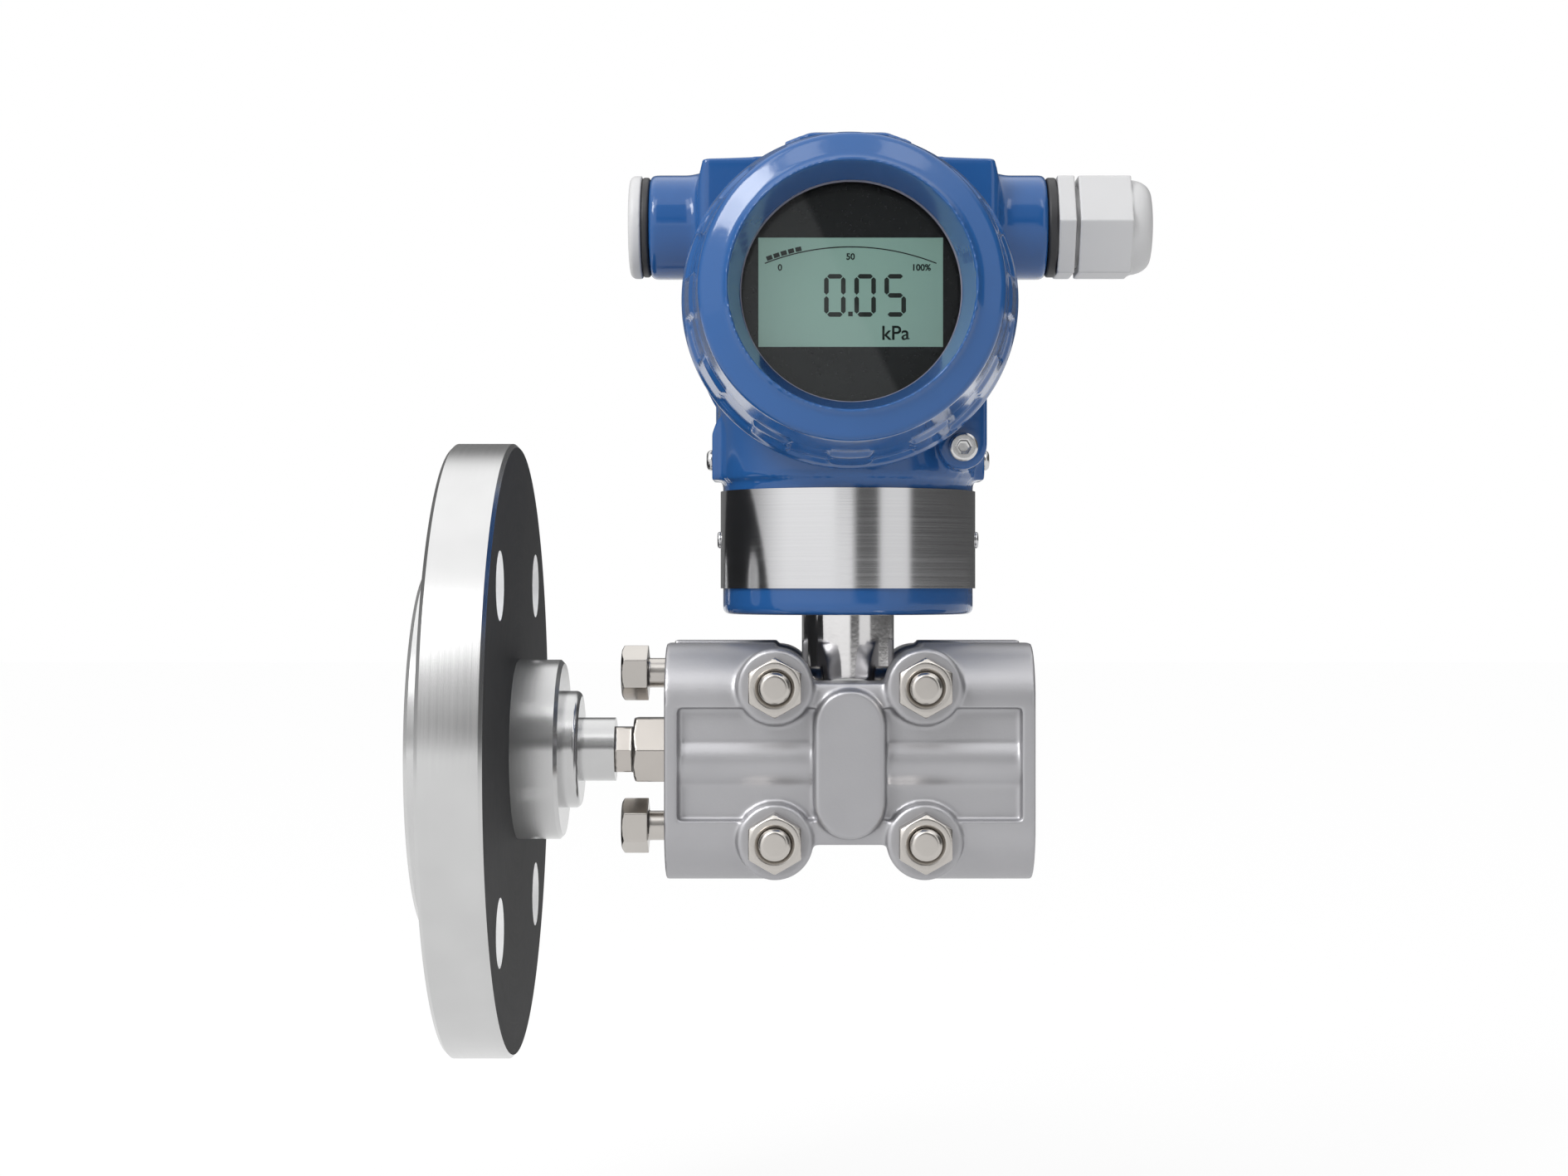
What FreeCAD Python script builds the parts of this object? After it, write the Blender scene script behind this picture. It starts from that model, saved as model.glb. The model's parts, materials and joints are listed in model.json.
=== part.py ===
import FreeCAD, Part
import math
import os

import Sketcher
from FreeCAD import Vector

# Flange-mounted differential pressure transmitter, in millimetres, +Z up.
# The origin is the centre of the seal flange's gasket face. +X runs from that face into the transmitter,
# and the display looks along -Y. The transmitter's own pieces are drawn about its vertical axis.

SIZES = [
    # seal flange and diaphragm seal, along X from the gasket face
    ("rim_diameter", 165.0), ("rim_thickness", 16.6),
    ("bolt_circle", 125.0), ("bolt_hole", 18.0), ("bolt_count", 4),
    ("head_diameter", 99.0), ("head_thickness", 7.5), ("head_edge", 1.0),
    ("hub_diameter", 48.4), ("hub_length", 12.4),
    ("collar_diameter", 31.5), ("collar_length", 4.7), ("collar_round", 1.5),
    ("stub_diameter", 17.1), ("stub_length", 9.2),
    ("foil_diameter", 64.0), ("foil_thickness", 0.4), ("foil_wave", 0.6), ("foil_flat", 14.0),
    ("foil_depth", 1.4), ("oil_bore", 4.0), ("rim_round", 1.0),
    # hexagon nipple between the seal and the high-pressure side
    ("small_hex", 12.0), ("small_hex_length", 5.0), ("large_hex", 17.0), ("large_hex_length", 11.4),
    ("hex_chamfer", 1.5), ("spigot_diameter", 8.0), ("spigot_length", 5.0),
    # process flange castings, one each side of the measuring capsule
    ("casting_length", 92.0), ("casting_height", 59.4), ("casting_face", 37.0), ("port_spacing", 54.0),
    ("shoulder_round", 15.0), ("end_rim", 3.4), ("pocket_height", 28.0), ("pocket_depth", 2.8),
    ("port_rib", 17.8), ("web_height", 40.0),
    ("clamp_across", 37.0), ("clamp_up", 38.2), ("clamp_boss", 19.0), ("clamp_boss_face", 38.0),
    ("pad_width", 17.6), ("pad_height", 37.0), ("pad_face", 39.0), ("casting_round", 0.8),
    ("port_bore", 12.0), ("port_depth", 16.0), ("port_reach", 12.0),
    ("end_bolt_spacing", 41.3), ("end_bolt_depth", 14.0),
    ("passage_bore", 5.0), ("chamber_diameter", 32.0), ("chamber_depth", 1.0),
    # fasteners
    ("bolt_diameter", 8.0), ("bolt_flats", 13.0), ("bolt_head", 6.2), ("nut_height", 6.8),
    ("bolt_end", 2.2), ("bolt_end_chamfer", 0.8), ("nut_sink", 0.8), ("bolt_clearance", 0.2),
    ("thread_clearance", 0.05),
    ("end_bolt_stand", 7.5), ("end_bolt_head", 7.2), ("port_plug_length", 10.0), ("port_plug_socket", 6.0),
    # measuring capsule and neck
    ("capsule_diameter", 43.0), ("capsule_width", 26.0), ("capsule_flat", 18.0),
    ("gasket_thickness", 1.0), ("gasket_inner", 34.0), ("gasket_outer", 41.0), ("cell_foil", 0.3),
    ("neck_diameter", 24.0), ("neck_bore", 16.0), ("neck_socket", 11.5), ("swivel_clearance", 0.05),
    # electronics housing
    ("housing_bottom", 36.8), ("body_diameter", 65.0), ("bottom_round", 1.5),
    ("shoulder_bottom", 71.4), ("shoulder_diameter", 67.6), ("barrel_height", 114.5),
    ("barrel_diameter", 77.0), ("barrel_length", 72.0), ("cover_bore", 66.1), ("seal_bore", 71.0),
    ("seal_bore_depth", 3.2), ("front_wall", 14.0), ("rear_wall", 11.0),
    ("conduit_height", 137.5), ("conduit_boss", 27.0), ("conduit_span", 102.8), ("conduit_thread", 20.0),
    ("conduit_edge", 1.0), ("conduit_collar", 10.3), ("flare_span", 60.0), ("flare_rise", 2.3),
    ("crown_width", 77.4), ("crown_shoulder", 146.5), ("crown_flat", 74.4), ("crown_corner", 152.8),
    ("crown_top", 153.6), ("crown_bottom", 122.0), ("crown_depth", 36.0), ("crown_round", 3.0),
    ("top_pad_width", 32.6), ("top_pad_side", 157.6), ("top_pad_flat", 19.0), ("top_pad_height", 160.1),
    ("top_pad_depth", 30.0),
    ("ear_width", 70.2), ("ear_height", 12.1), ("ear_slope", 3.5), ("ear_depth", 18.0),
    ("lobe_offset", 28.3), ("lobe_height", 78.7), ("lobe_bottom", 73.2), ("lobe_width", 12.2),
    ("lobe_top", 101.7), ("lobe_face", 30.0),
    ("cavity_diameter", 48.0), ("cavity_floor", 52.0), ("cavity_roof", 70.0),
    ("wire_bore", 8.0), ("wire_offset", 19.0),
    # nameplate band, ear screws, cover locks
    ("band_bottom", 43.5), ("band_height", 25.1), ("band_thickness", 0.6), ("band_gap", 0.05),
    ("rivet_diameter", 3.0), ("rivet_head", 4.4), ("rivet_rise", 0.8), ("rivet_depth", 4.0),
    ("ear_screw_diameter", 3.0), ("ear_screw_head", 5.4), ("ear_screw_rise", 1.7), ("ear_screw_depth", 6.0),
    ("ear_screw_height", 76.8), ("screw_end_gap", 0.5),
    ("lock_diameter", 4.0), ("lock_head", 7.2), ("lock_rise", 4.0), ("lock_depth", 9.0),
    ("lock_edge", 0.5), ("lock_socket", 3.2), ("lock_socket_depth", 2.2),
    # conduit closures
    ("plug_seal_thickness", 2.0), ("plug_head", 26.6), ("plug_thickness", 3.2), ("plug_shank", 12.0),
    ("closure_seal_diameter", 25.8), ("closure_seal_inner", 20.8), ("seal_round", 0.7), ("plug_round", 1.6),
    ("gland_seal_thickness", 2.6), ("gland_flats", 25.2), ("gland_flange", 4.4), ("gland_thread", 21.0),
    ("gland_thread_length", 9.0), ("gland_gap", 1.0), ("gland_bore", 16.0), ("gland_relief", 1.0),
    ("gland_nut_flats", 25.2), ("gland_nut_length", 19.1), ("gland_nut_mouth", 13.6),
    ("gland_dome_length", 5.5), ("gland_dome_root", 24.6), ("gland_dome_end", 17.0),
    ("gland_nut_wall", 2.6), ("gland_running", 0.08),
    ("bush_diameter", 15.2), ("bush_length", 16.0), ("bush_start", 1.2), ("bush_nose_gap", 0.2),
    ("cable_diameter", 8.0),
    # covers
    ("cover_running", 0.05), ("cover_gap", 0.3), ("cover_thread", 12.0), ("cover_inner", 59.6),
    ("seal_neck", 64.6), ("seal_ring", 67.8), ("seal_section", 2.8), ("seal_free", 0.2),
    ("flange_diameter", 83.2), ("flange_edge", 2.2), ("lug_root", 79.8), ("lug_start", 5.0),
    ("lug_length", 11.0), ("lug_end", 2.4), ("lug_rise", 0.8), ("lug_count", 12), ("lug_angle", 14.6),
    ("cover_waist", 76.2), ("cover_edge", 72.6), ("cover_length", 33.3), ("cover_edge_round", 2.0),
    ("ring_outer", 60.8), ("ring_rise", 2.4), ("ring_lip", 1.8), ("ring_crest", 58.6),
    ("window_opening", 53.0), ("window_bevel", 14.3), ("window_wall", 1.1),
    ("glass_diameter", 59.2), ("glass_thickness", 6.0), ("window_seal", 0.8), ("window_seal_inner", 52.6),
    ("retainer_inner", 54.8), ("retainer_thickness", 3.0),
    ("rear_cover_length", 18.7), ("rear_cover_edge", 75.4), ("rear_cover_wall", 4.0),
    ("rear_cover_dish", 1.2), ("rear_cover_ring", 50.0),
    # inside the housing
    ("module_diameter", 57.0), ("module_length", 26.0), ("bezel_diameter", 54.0), ("bezel_length", 10.2),
    ("screen_width", 44.8), ("screen_height", 26.5), ("screen_rise", 0.7),
    ("screen_recess", 1.0), ("screen_thickness", 0.8),
    ("terminal_width", 34.0), ("terminal_height", 20.0), ("terminal_depth", 12.0), ("terminal_drop", 8.0),
    ("terminal_screw", 5.0), ("terminal_screw_rise", 1.6), ("terminal_pitch", 9.5),
]

doc = FreeCAD.newDocument("pressure_transmitter")
sheet = doc.addObject("Spreadsheet::Sheet", "size")
for row, (alias, length) in enumerate(SIZES, start=1):
    sheet.set(f"A{row}", alias.replace("_", " "))
    sheet.set(f"B{row}", str(length))
    sheet.setAlias(f"B{row}", alias)
doc.recompute()

# Stations along X from the gasket face
RIM_BACK = "(size.head_thickness + size.rim_thickness)"
HUB_END = f"({RIM_BACK} + size.hub_length)"
COLLAR_END = f"({HUB_END} + size.collar_length)"
STUB_END = f"({COLLAR_END} + size.stub_length)"
SMALL_HEX_END = f"({STUB_END} + size.small_hex_length)"
END_FACE = f"({SMALL_HEX_END} + size.large_hex_length)"
AXIS_X = f"({END_FACE} + size.casting_length / 2)"
AXIS_Y = "(-size.port_spacing / 2)"

# Distances from the transmitter's central plane and vertical axis
PORT_Y = "(size.port_spacing / 2)"
CASTING_INNER = "(size.capsule_width / 2 + size.gasket_thickness)"
MOUTH = "(size.barrel_length / 2)"
CONDUIT_END = "(size.conduit_span / 2)"
THREAD_RADIUS = "(size.conduit_thread / 2)"
BAND_RADIUS = "(size.body_diameter / 2 + size.band_gap + size.band_thickness)"
NECK_TOP = "(size.housing_bottom + size.neck_socket)"

# Stations of the covers, forward of the transmitter's central plane
COVER_BACK = f"({MOUTH} + size.cover_gap)"
SPIGOT_END = f"({MOUTH} - size.cover_thread)"
LUG_START = f"({COVER_BACK} + size.lug_start)"
LUG_END = f"({LUG_START} + size.lug_length)"
EDGE_STATION = f"({COVER_BACK} + size.cover_length)"
REAR_FACE = f"({COVER_BACK} + size.rear_cover_length)"
RING_STATION = f"({EDGE_STATION} + size.ring_rise)"
CREST_STATION = f"({RING_STATION} + size.ring_lip)"
WINDOW_FRONT = f"({CREST_STATION} - size.window_bevel)"
WINDOW_SEAT = f"({WINDOW_FRONT} - size.window_wall)"
GLASS_FRONT = f"({WINDOW_SEAT} - size.window_seal)"
GLASS_BACK = f"({GLASS_FRONT} - size.glass_thickness)"
SEAL_STATION = f"({MOUTH} - size.seal_free - size.seal_section / 2)"


def number(expression):
    """The value that an expression on the sheet's sizes has now."""
    return float(sheet.evalExpression(str(expression)))


def new_body(label, x="0", y="0", z="0", turn=0.0, axis=Vector(0, 0, 1)):
    """A body drawn about its own origin, which stands at x, y, z and is turned about an axis."""
    body = doc.addObject("PartDesign::Body", label)
    body.Label = label
    body.Placement = FreeCAD.Placement(Vector(), FreeCAD.Rotation(axis, turn))
    for side, place in (("x", x), ("y", y), ("z", z)):
        body.setExpression(f"Placement.Base.{side}", str(place))
    return body


def on_axis(label, z="0", turn=0.0, axis=Vector(0, 0, 1)):
    """A body drawn about the transmitter's vertical axis, at height z."""
    return new_body(label, AXIS_X, AXIS_Y, z, turn, axis)


def origin_feature(body, role):
    return next(f for f in body.Origin.OriginFeatures if f.Role == role)


def new_sketch(body, plane, offset="0"):
    """A sketch on one of the body's own planes, moved by offset along the plane's normal."""
    sketch = body.newObject("Sketcher::SketchObject", "outline")
    sketch.AttachmentSupport = [(origin_feature(body, plane), "")]
    sketch.MapMode = "FlatFace"
    sketch.setExpression("AttachmentOffset.Base.z", str(offset))
    return sketch


def bind(sketch, constraints):
    """Adds constraints, given as (constraint, expression or None), and binds those with expressions."""
    indices = sketch.addConstraint([constraint for constraint, _ in constraints])
    for index, (_, expression) in zip(indices, constraints):
        if expression is not None:
            sketch.setExpression(f"Constraints[{index}]", str(expression))


def at_point(geometry, point, u, v):
    """The two constraints that hold a point of a geometry at u, v."""
    return [
        (Sketcher.Constraint("DistanceX", -1, 1, geometry, point, number(u)), u),
        (Sketcher.Constraint("DistanceY", -1, 1, geometry, point, number(v)), v),
    ]


def polygon(sketch, corners):
    """A closed outline of straight lines through corners, which are pairs of expressions."""
    first = sketch.GeometryCount
    points = [Vector(number(u), number(v), 0) for u, v in corners]
    count = len(points)
    sketch.addGeometry([Part.LineSegment(points[i], points[(i + 1) % count]) for i in range(count)])
    held = []
    for i, (u, v) in enumerate(corners):
        held.append((Sketcher.Constraint("Coincident", first + i, 2, first + (i + 1) % count, 1), None))
        held += at_point(first + i, 1, u, v)
    bind(sketch, held)


def rectangle(sketch, left, low, right, high):
    polygon(sketch, [(left, low), (right, low), (right, high), (left, high)])


def circle(sketch, diameter, u="0", v="0"):
    index = sketch.addGeometry(
        Part.Circle(Vector(number(u), number(v), 0), Vector(0, 0, 1), number(f"{diameter} / 2")))
    held = at_point(index, 3, u, v)
    held.append((Sketcher.Constraint("Radius", index, number(f"{diameter} / 2")), f"{diameter} / 2"))
    bind(sketch, held)


def hexagon(sketch, flats, u="0", v="0", first_corner=0):
    """A hexagon of a given width across flats, with a corner at an angle of first_corner degrees."""
    corners = []
    for side in range(6):
        angle = first_corner + 60 * side
        corners.append((f"{u} + {flats} / sqrt(3) * cos({angle} deg)",
                        f"{v} + {flats} / sqrt(3) * sin({angle} deg)"))
    polygon(sketch, corners)


def stadium(sketch, width, low, high, u="0", round_top=True):
    """An upright slot shape between the heights low and high, with a square top if round_top is false."""
    radius = number(f"{width} / 2")
    middle, bottom = number(u), number(f"{low} + {width} / 2")
    top = number(f"{high} - {width} / 2") if round_top else number(high)
    left, right = Vector(middle - radius, 0, 0), Vector(middle + radius, 0, 0)
    up = Vector(0, 1, 0)
    lines = [Part.LineSegment(right + up * bottom, right + up * top),
             Part.LineSegment(left + up * top, left + up * bottom)]
    lower, upper = (Part.Circle(Vector(middle, v, 0), Vector(0, 0, 1), radius) for v in (bottom, top))
    arc = Part.ArcOfCircle(lower, math.pi, 2 * math.pi)
    if round_top:
        cap = Part.ArcOfCircle(upper, 0, math.pi)
    else:
        cap = Part.LineSegment(right + up * top, left + up * top)
    first = sketch.GeometryCount
    sketch.addGeometry(lines + [arc, cap])
    rise, fall, foot, crown = range(first, first + 4)
    held = [(Sketcher.Constraint("Tangent", foot, 2, rise, 1), None),
            (Sketcher.Constraint("Tangent", fall, 2, foot, 1), None),
            (Sketcher.Constraint("Vertical", rise), None)]
    held += at_point(foot, 3, u, f"{low} + {width} / 2")
    held.append((Sketcher.Constraint("Radius", foot, radius), f"{width} / 2"))
    if round_top:
        held += [(Sketcher.Constraint("Tangent", rise, 2, crown, 1), None),
                 (Sketcher.Constraint("Tangent", crown, 2, fall, 1), None)]
        held.append((Sketcher.Constraint("DistanceY", -1, 1, crown, 3, top), f"{high} - {width} / 2"))
    else:
        held += [(Sketcher.Constraint("Coincident", rise, 2, crown, 1), None),
                 (Sketcher.Constraint("Coincident", crown, 2, fall, 1), None),
                 (Sketcher.Constraint("Horizontal", crown), None)]
        held.append((Sketcher.Constraint("DistanceY", -1, 1, rise, 2, top), high))
    bind(sketch, held)


def extrude(body, sketch, length, kind="Pad", reverse=False, both=False):
    """Pads or pockets a sketch. A pad follows the plane's normal and a pocket goes against it."""
    feature = body.newObject(f"PartDesign::{kind}", kind.lower())
    feature.Profile = sketch
    if both:
        feature.SideType = "Symmetric"
    feature.Reversed = reverse
    feature.setExpression("Length", str(length))
    return feature


def pocket(body, sketch, depth, reverse=False, both=False):
    return extrude(body, sketch, depth, "Pocket", reverse, both)


def turn(body, sketch, axis, kind="Revolution", angle=None):
    """Revolves a sketch about its own horizontal or vertical axis, right round or through an angle."""
    feature = body.newObject(f"PartDesign::{kind}", kind.lower())
    feature.Profile = sketch
    feature.ReferenceAxis = (sketch, [axis])
    feature.Angle = 360.0
    if angle:
        feature.Midplane = True
        feature.setExpression("Angle", angle)
    return feature


def turned_along_x(body, outline):
    """A turned shape whose outline is given as (station along X, radius)."""
    sketch = new_sketch(body, "XY_Plane")
    polygon(sketch, outline)
    return turn(body, sketch, "H_Axis")


def turned_along_z(body, outline, kind="Revolution"):
    """A turned shape whose outline is given as (radius, height)."""
    sketch = new_sketch(body, "XZ_Plane")
    polygon(sketch, outline)
    return turn(body, sketch, "V_Axis", kind)


def turned_forward(body, outline):
    """A turned shape about the body's Y axis, given as (radius, distance forward, towards -Y)."""
    sketch = new_sketch(body, "XY_Plane")
    polygon(sketch, [(radius, f"-({forward})") for radius, forward in outline])
    return turn(body, sketch, "V_Axis")


def round_edges(body, radius, chosen, kind="Fillet"):
    """Rounds or chamfers the edges of the body's last shape that chosen accepts."""
    doc.recompute()
    base = body.Tip
    names = [f"Edge{i}" for i, edge in enumerate(base.Shape.Edges, start=1) if chosen(edge)]
    feature = body.newObject(f"PartDesign::{kind}", kind.lower())
    feature.Base = (base, names)
    feature.setExpression("Radius" if kind == "Fillet" else "Size", str(radius))
    return feature


def pattern(body, originals, kind, axis, count=None):
    """Repeats features about an axis of the body, or mirrors them in a plane of it."""
    feature = body.newObject(f"PartDesign::{kind}", kind.lower())
    feature.Originals = originals
    if kind == "Mirrored":
        feature.MirrorPlane = (origin_feature(body, axis), [""])
    else:
        feature.Axis = (origin_feature(body, axis), [""])
        feature.Angle = 360.0
        feature.setExpression("Occurrences", count)
    body.Tip = feature
    return feature


def is_circle(edge, radius, **place):
    """Is an edge a full circle of this radius, with its centre at the named x, y or z?"""
    if type(edge.Curve).__name__ != "Circle" or not edge.isClosed():
        return False
    centre = edge.Curve.Center
    return (abs(edge.Curve.Radius - radius) < 1e-4
            and all(abs(getattr(centre, side) - value) < 1e-4 for side, value in place.items()))


def runs_along(edge, direction):
    """Is an edge straight and parallel to a direction?"""
    if type(edge.Curve).__name__ != "Line":
        return False
    return abs(abs(edge.tangentAt(edge.FirstParameter).dot(direction)) - 1) < 1e-6


def seal_flange():
    """Loose flange ring, bored for the seal's hub and drilled on its bolt circle."""
    body = new_body("seal_flange")
    front, rim = "size.head_thickness", "size.rim_diameter / 2"
    bore = "(size.hub_diameter / 2 + size.bolt_clearance / 2)"
    turned_along_x(body, [(front, bore), (front, rim), (RIM_BACK, rim), (RIM_BACK, bore)])
    radius = number(rim)
    round_edges(body, "size.rim_round", lambda edge: is_circle(edge, radius), "Chamfer")
    holes = new_sketch(body, "YZ_Plane", front)
    place = "size.bolt_circle / 2 * sqrt(0.5)"
    circle(holes, "size.bolt_hole", place, place)
    hole = pocket(body, holes, "size.rim_thickness", reverse=True)
    pattern(body, [hole], "PolarPattern", "X_Axis", "size.bolt_count")
    return body


def seal_body():
    """Diaphragm seal turned from one bar: gasket head, hub, collar and stub, with the oil bore through it."""
    body = new_body("seal_body")
    bore, foil = "size.oil_bore / 2", "size.foil_diameter / 2"
    head, hub = "size.head_diameter / 2", "size.hub_diameter / 2"
    collar, stub = "size.collar_diameter / 2", "size.stub_diameter / 2"
    edge = "size.head_edge"
    turned_along_x(body, [
        ("size.foil_depth", bore), ("size.foil_depth", foil), ("0", foil),
        ("0", f"{head} - {edge}"), (edge, head),
        ("size.head_thickness", head), ("size.head_thickness", hub),
        (f"{HUB_END} - {edge}", hub), (HUB_END, f"{hub} - {edge}"),
        (HUB_END, collar), (COLLAR_END, collar), (COLLAR_END, stub), (STUB_END, stub),
        (STUB_END, "size.spigot_diameter / 2 + size.thread_clearance"),
        (f"{STUB_END} - size.spigot_length", "size.spigot_diameter / 2 + size.thread_clearance"),
        (f"{STUB_END} - size.spigot_length", bore),
    ])
    radius, station = number(collar), number(COLLAR_END)
    round_edges(body, "size.collar_round", lambda e: is_circle(e, radius, x=station))
    return body


def seal_diaphragm():
    """Corrugated foil welded into the recess of the gasket face."""
    body = new_body("seal_diaphragm")
    waves = 3
    rim = "(size.foil_diameter / 2 - size.thread_clearance)"
    pitch = f"(({rim} - size.foil_flat) / {2 * waves + 1})"
    front = [("size.foil_wave", "0")]
    for step in range(2 * waves + 1):
        level = "size.foil_wave" if step % 2 == 0 else "0"
        front.append((level, f"size.foil_flat + {pitch} * {step}"))
    front.append(("size.foil_wave", rim))
    back = [(f"{station} + size.foil_thickness", radius) for station, radius in reversed(front)]
    back[0] = ("size.foil_depth", rim)
    back.insert(1, ("size.foil_depth", f"{rim} - {pitch} / 2"))
    turned_along_x(body, front + back)
    return body


def hex_nipple():
    """Nipple with two hexagons, a spigot into the seal's stub and a thread into the high-pressure port."""
    body = new_body("hex_nipple")
    steps = [("size.small_hex", STUB_END, "size.small_hex_length"),
             ("size.large_hex", SMALL_HEX_END, "size.large_hex_length")]
    for flats, station, length in steps:
        sketch = new_sketch(body, "YZ_Plane", station)
        hexagon(sketch, flats)
        extrude(body, sketch, length)
    thread = "(size.port_bore / 2 - size.thread_clearance)"
    port = f"({END_FACE} + size.port_reach)"
    turned_along_x(body, [
        (f"{STUB_END} - size.spigot_length", "size.oil_bore / 2"),
        (f"{STUB_END} - size.spigot_length", "size.spigot_diameter / 2"),
        (f"{END_FACE} - size.hex_chamfer", "size.spigot_diameter / 2"),
        (f"{END_FACE} - size.hex_chamfer", thread), (port, thread), (port, "size.oil_bore / 2"),
    ])
    cut = new_sketch(body, "XY_Plane")
    corner = "(size.large_hex / sqrt(3) + size.hex_chamfer)"
    polygon(cut, [(SMALL_HEX_END, f"{corner} - 2 * size.hex_chamfer"), (SMALL_HEX_END, corner),
                  (f"{SMALL_HEX_END} + size.hex_chamfer", corner)])
    turn(body, cut, "H_Axis", "Groove")
    bore = new_sketch(body, "YZ_Plane", f"{STUB_END} - size.spigot_length")
    circle(bore, "size.oil_bore")
    pocket(body, bore, f"{port} - {STUB_END} + size.spigot_length", reverse=True)
    return body


# The four clamp bolt axes, as pairs of expressions across and up from the middle of a casting
CLAMP_CORNERS = [(f"{i} * size.clamp_across / 2", f"{j} * size.clamp_up / 2")
                 for i in (1, -1) for j in (1, -1)]


def process_flange(label, half_turn):
    """One process flange casting. It is drawn for the front side, and the rear one is turned half round."""
    body = on_axis(label, turn=180.0 if half_turn else 0.0)
    half_length, half_height = "size.casting_length / 2", "size.casting_height / 2"
    block = new_sketch(body, "YZ_Plane")
    rectangle(block, "-size.casting_face", f"-{half_height}", f"-{CASTING_INNER}", half_height)
    extrude(body, block, "size.casting_length", both=True)
    face = number("size.casting_face")
    round_edges(body, "size.shoulder_round",
                lambda e: runs_along(e, Vector(1, 0, 0)) and abs(e.Vertexes[0].Y + face) < 1e-4)

    # shallow pockets between the end rims, and the notches that clear the neck and the capsule
    pockets = new_sketch(body, "XZ_Plane", "size.casting_face")
    reach = f"({half_length} - size.end_rim)"
    rectangle(pockets, f"-{reach}", "-size.pocket_height / 2", reach, "size.pocket_height / 2")
    pocket(body, pockets, "size.pocket_depth")
    for side in (1, -1):
        notch = new_sketch(body, "XZ_Plane", "size.casting_face")
        levels = [f"{side} * size.web_height / 2", f"{side} * size.casting_height"]
        low, high = levels if side > 0 else reversed(levels)
        rectangle(notch, "-size.clamp_across / 2", low, "size.clamp_across / 2", high)
        pocket(body, notch, f"size.casting_face - {CASTING_INNER}")

    # the port's rib, the bosses round the clamp bolts and the pad between them
    rib = new_sketch(body, "YZ_Plane")
    circle(rib, "size.port_rib", f"-{PORT_Y}")
    extrude(body, rib, f"{reach} * 2", both=True)
    bosses = new_sketch(body, "XZ_Plane", CASTING_INNER)
    for u, v in CLAMP_CORNERS:
        circle(bosses, "size.clamp_boss", u, v)
    extrude(body, bosses, f"size.clamp_boss_face - {CASTING_INNER}")
    pad = new_sketch(body, "XZ_Plane", CASTING_INNER)
    stadium(pad, "size.pad_width", "-size.pad_height / 2", "size.pad_height / 2")
    extrude(body, pad, f"size.pad_face - {CASTING_INNER}")
    boss, boss_face = number("size.clamp_boss / 2"), number("size.clamp_boss_face")
    pad_face = number("size.pad_face")
    round_edges(body, "size.casting_round", lambda e: is_circle(e, boss, y=-boss_face)
                or all(abs(v.Y + pad_face) < 1e-4 for v in e.Vertexes))

    # clamp bolt holes, then the ports and tapped holes of both ends
    holes = new_sketch(body, "XZ_Plane", "size.clamp_boss_face")
    for u, v in CLAMP_CORNERS:
        circle(holes, "(size.bolt_diameter + 2 * size.bolt_clearance)", u, v)
    pocket(body, holes, f"size.clamp_boss_face - {CASTING_INNER}")
    port = new_sketch(body, "YZ_Plane", half_length)
    circle(port, "size.port_bore", f"-{PORT_Y}")
    port_hole = pocket(body, port, "size.port_depth")
    tapped = new_sketch(body, "YZ_Plane", half_length)
    for sign in (1, -1):
        circle(tapped, "(size.bolt_diameter + 2 * size.thread_clearance)", f"-{PORT_Y}",
               f"{sign} * size.end_bolt_spacing / 2")
    tapped_holes = pocket(body, tapped, "size.end_bolt_depth")
    pattern(body, [port_hole, tapped_holes], "Mirrored", "YZ_Plane")

    # the pressure passage from the ports to the chamber at the capsule
    passage = new_sketch(body, "YZ_Plane")
    circle(passage, "size.passage_bore", f"-{PORT_Y}")
    pocket(body, passage, "size.casting_length - size.port_depth", both=True)
    inlet = new_sketch(body, "XZ_Plane", PORT_Y)
    circle(inlet, "size.passage_bore")
    pocket(body, inlet, f"{PORT_Y} - {CASTING_INNER}")
    chamber = new_sketch(body, "XZ_Plane", f"{CASTING_INNER} + size.chamber_depth")
    circle(chamber, "size.chamber_diameter")
    pocket(body, chamber, "size.chamber_depth")
    return body


def sensor_capsule():
    """Welded measuring capsule, with a flat on top for the neck."""
    body = on_axis("sensor_capsule")
    disc = new_sketch(body, "XZ_Plane")
    circle(disc, "size.capsule_diameter")
    extrude(body, disc, "size.capsule_width", both=True)
    flat = new_sketch(body, "XZ_Plane")
    rectangle(flat, "-size.capsule_diameter / 2", "size.capsule_flat",
              "size.capsule_diameter / 2", "size.capsule_diameter")
    pocket(body, flat, "size.capsule_width", both=True)
    return body


def capsule_gasket(label, side):
    """Flat ring between the capsule and one process flange."""
    body = on_axis(label)
    ring = new_sketch(body, "XZ_Plane", f"{side} * size.capsule_width / 2")
    circle(ring, "size.gasket_outer")
    circle(ring, "size.gasket_inner")
    extrude(body, ring, "size.gasket_thickness", reverse=side < 0)
    return body


def capsule_foil(label, side):
    """Thin isolating diaphragm on one face of the capsule."""
    body = on_axis(label)
    disc = new_sketch(body, "XZ_Plane", f"{side} * size.capsule_width / 2")
    circle(disc, "size.chamber_diameter")
    extrude(body, disc, "size.cell_foil", reverse=side < 0)
    return body


def sensor_neck():
    """Polished tube that carries the housing and lets it turn."""
    body = on_axis("sensor_neck")
    outer, inner = "size.neck_diameter / 2", "size.neck_bore / 2"
    turned_along_z(body, [(inner, "size.capsule_flat"), (outer, "size.capsule_flat"), (outer, NECK_TOP),
                          (inner, NECK_TOP)])
    return body


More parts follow.
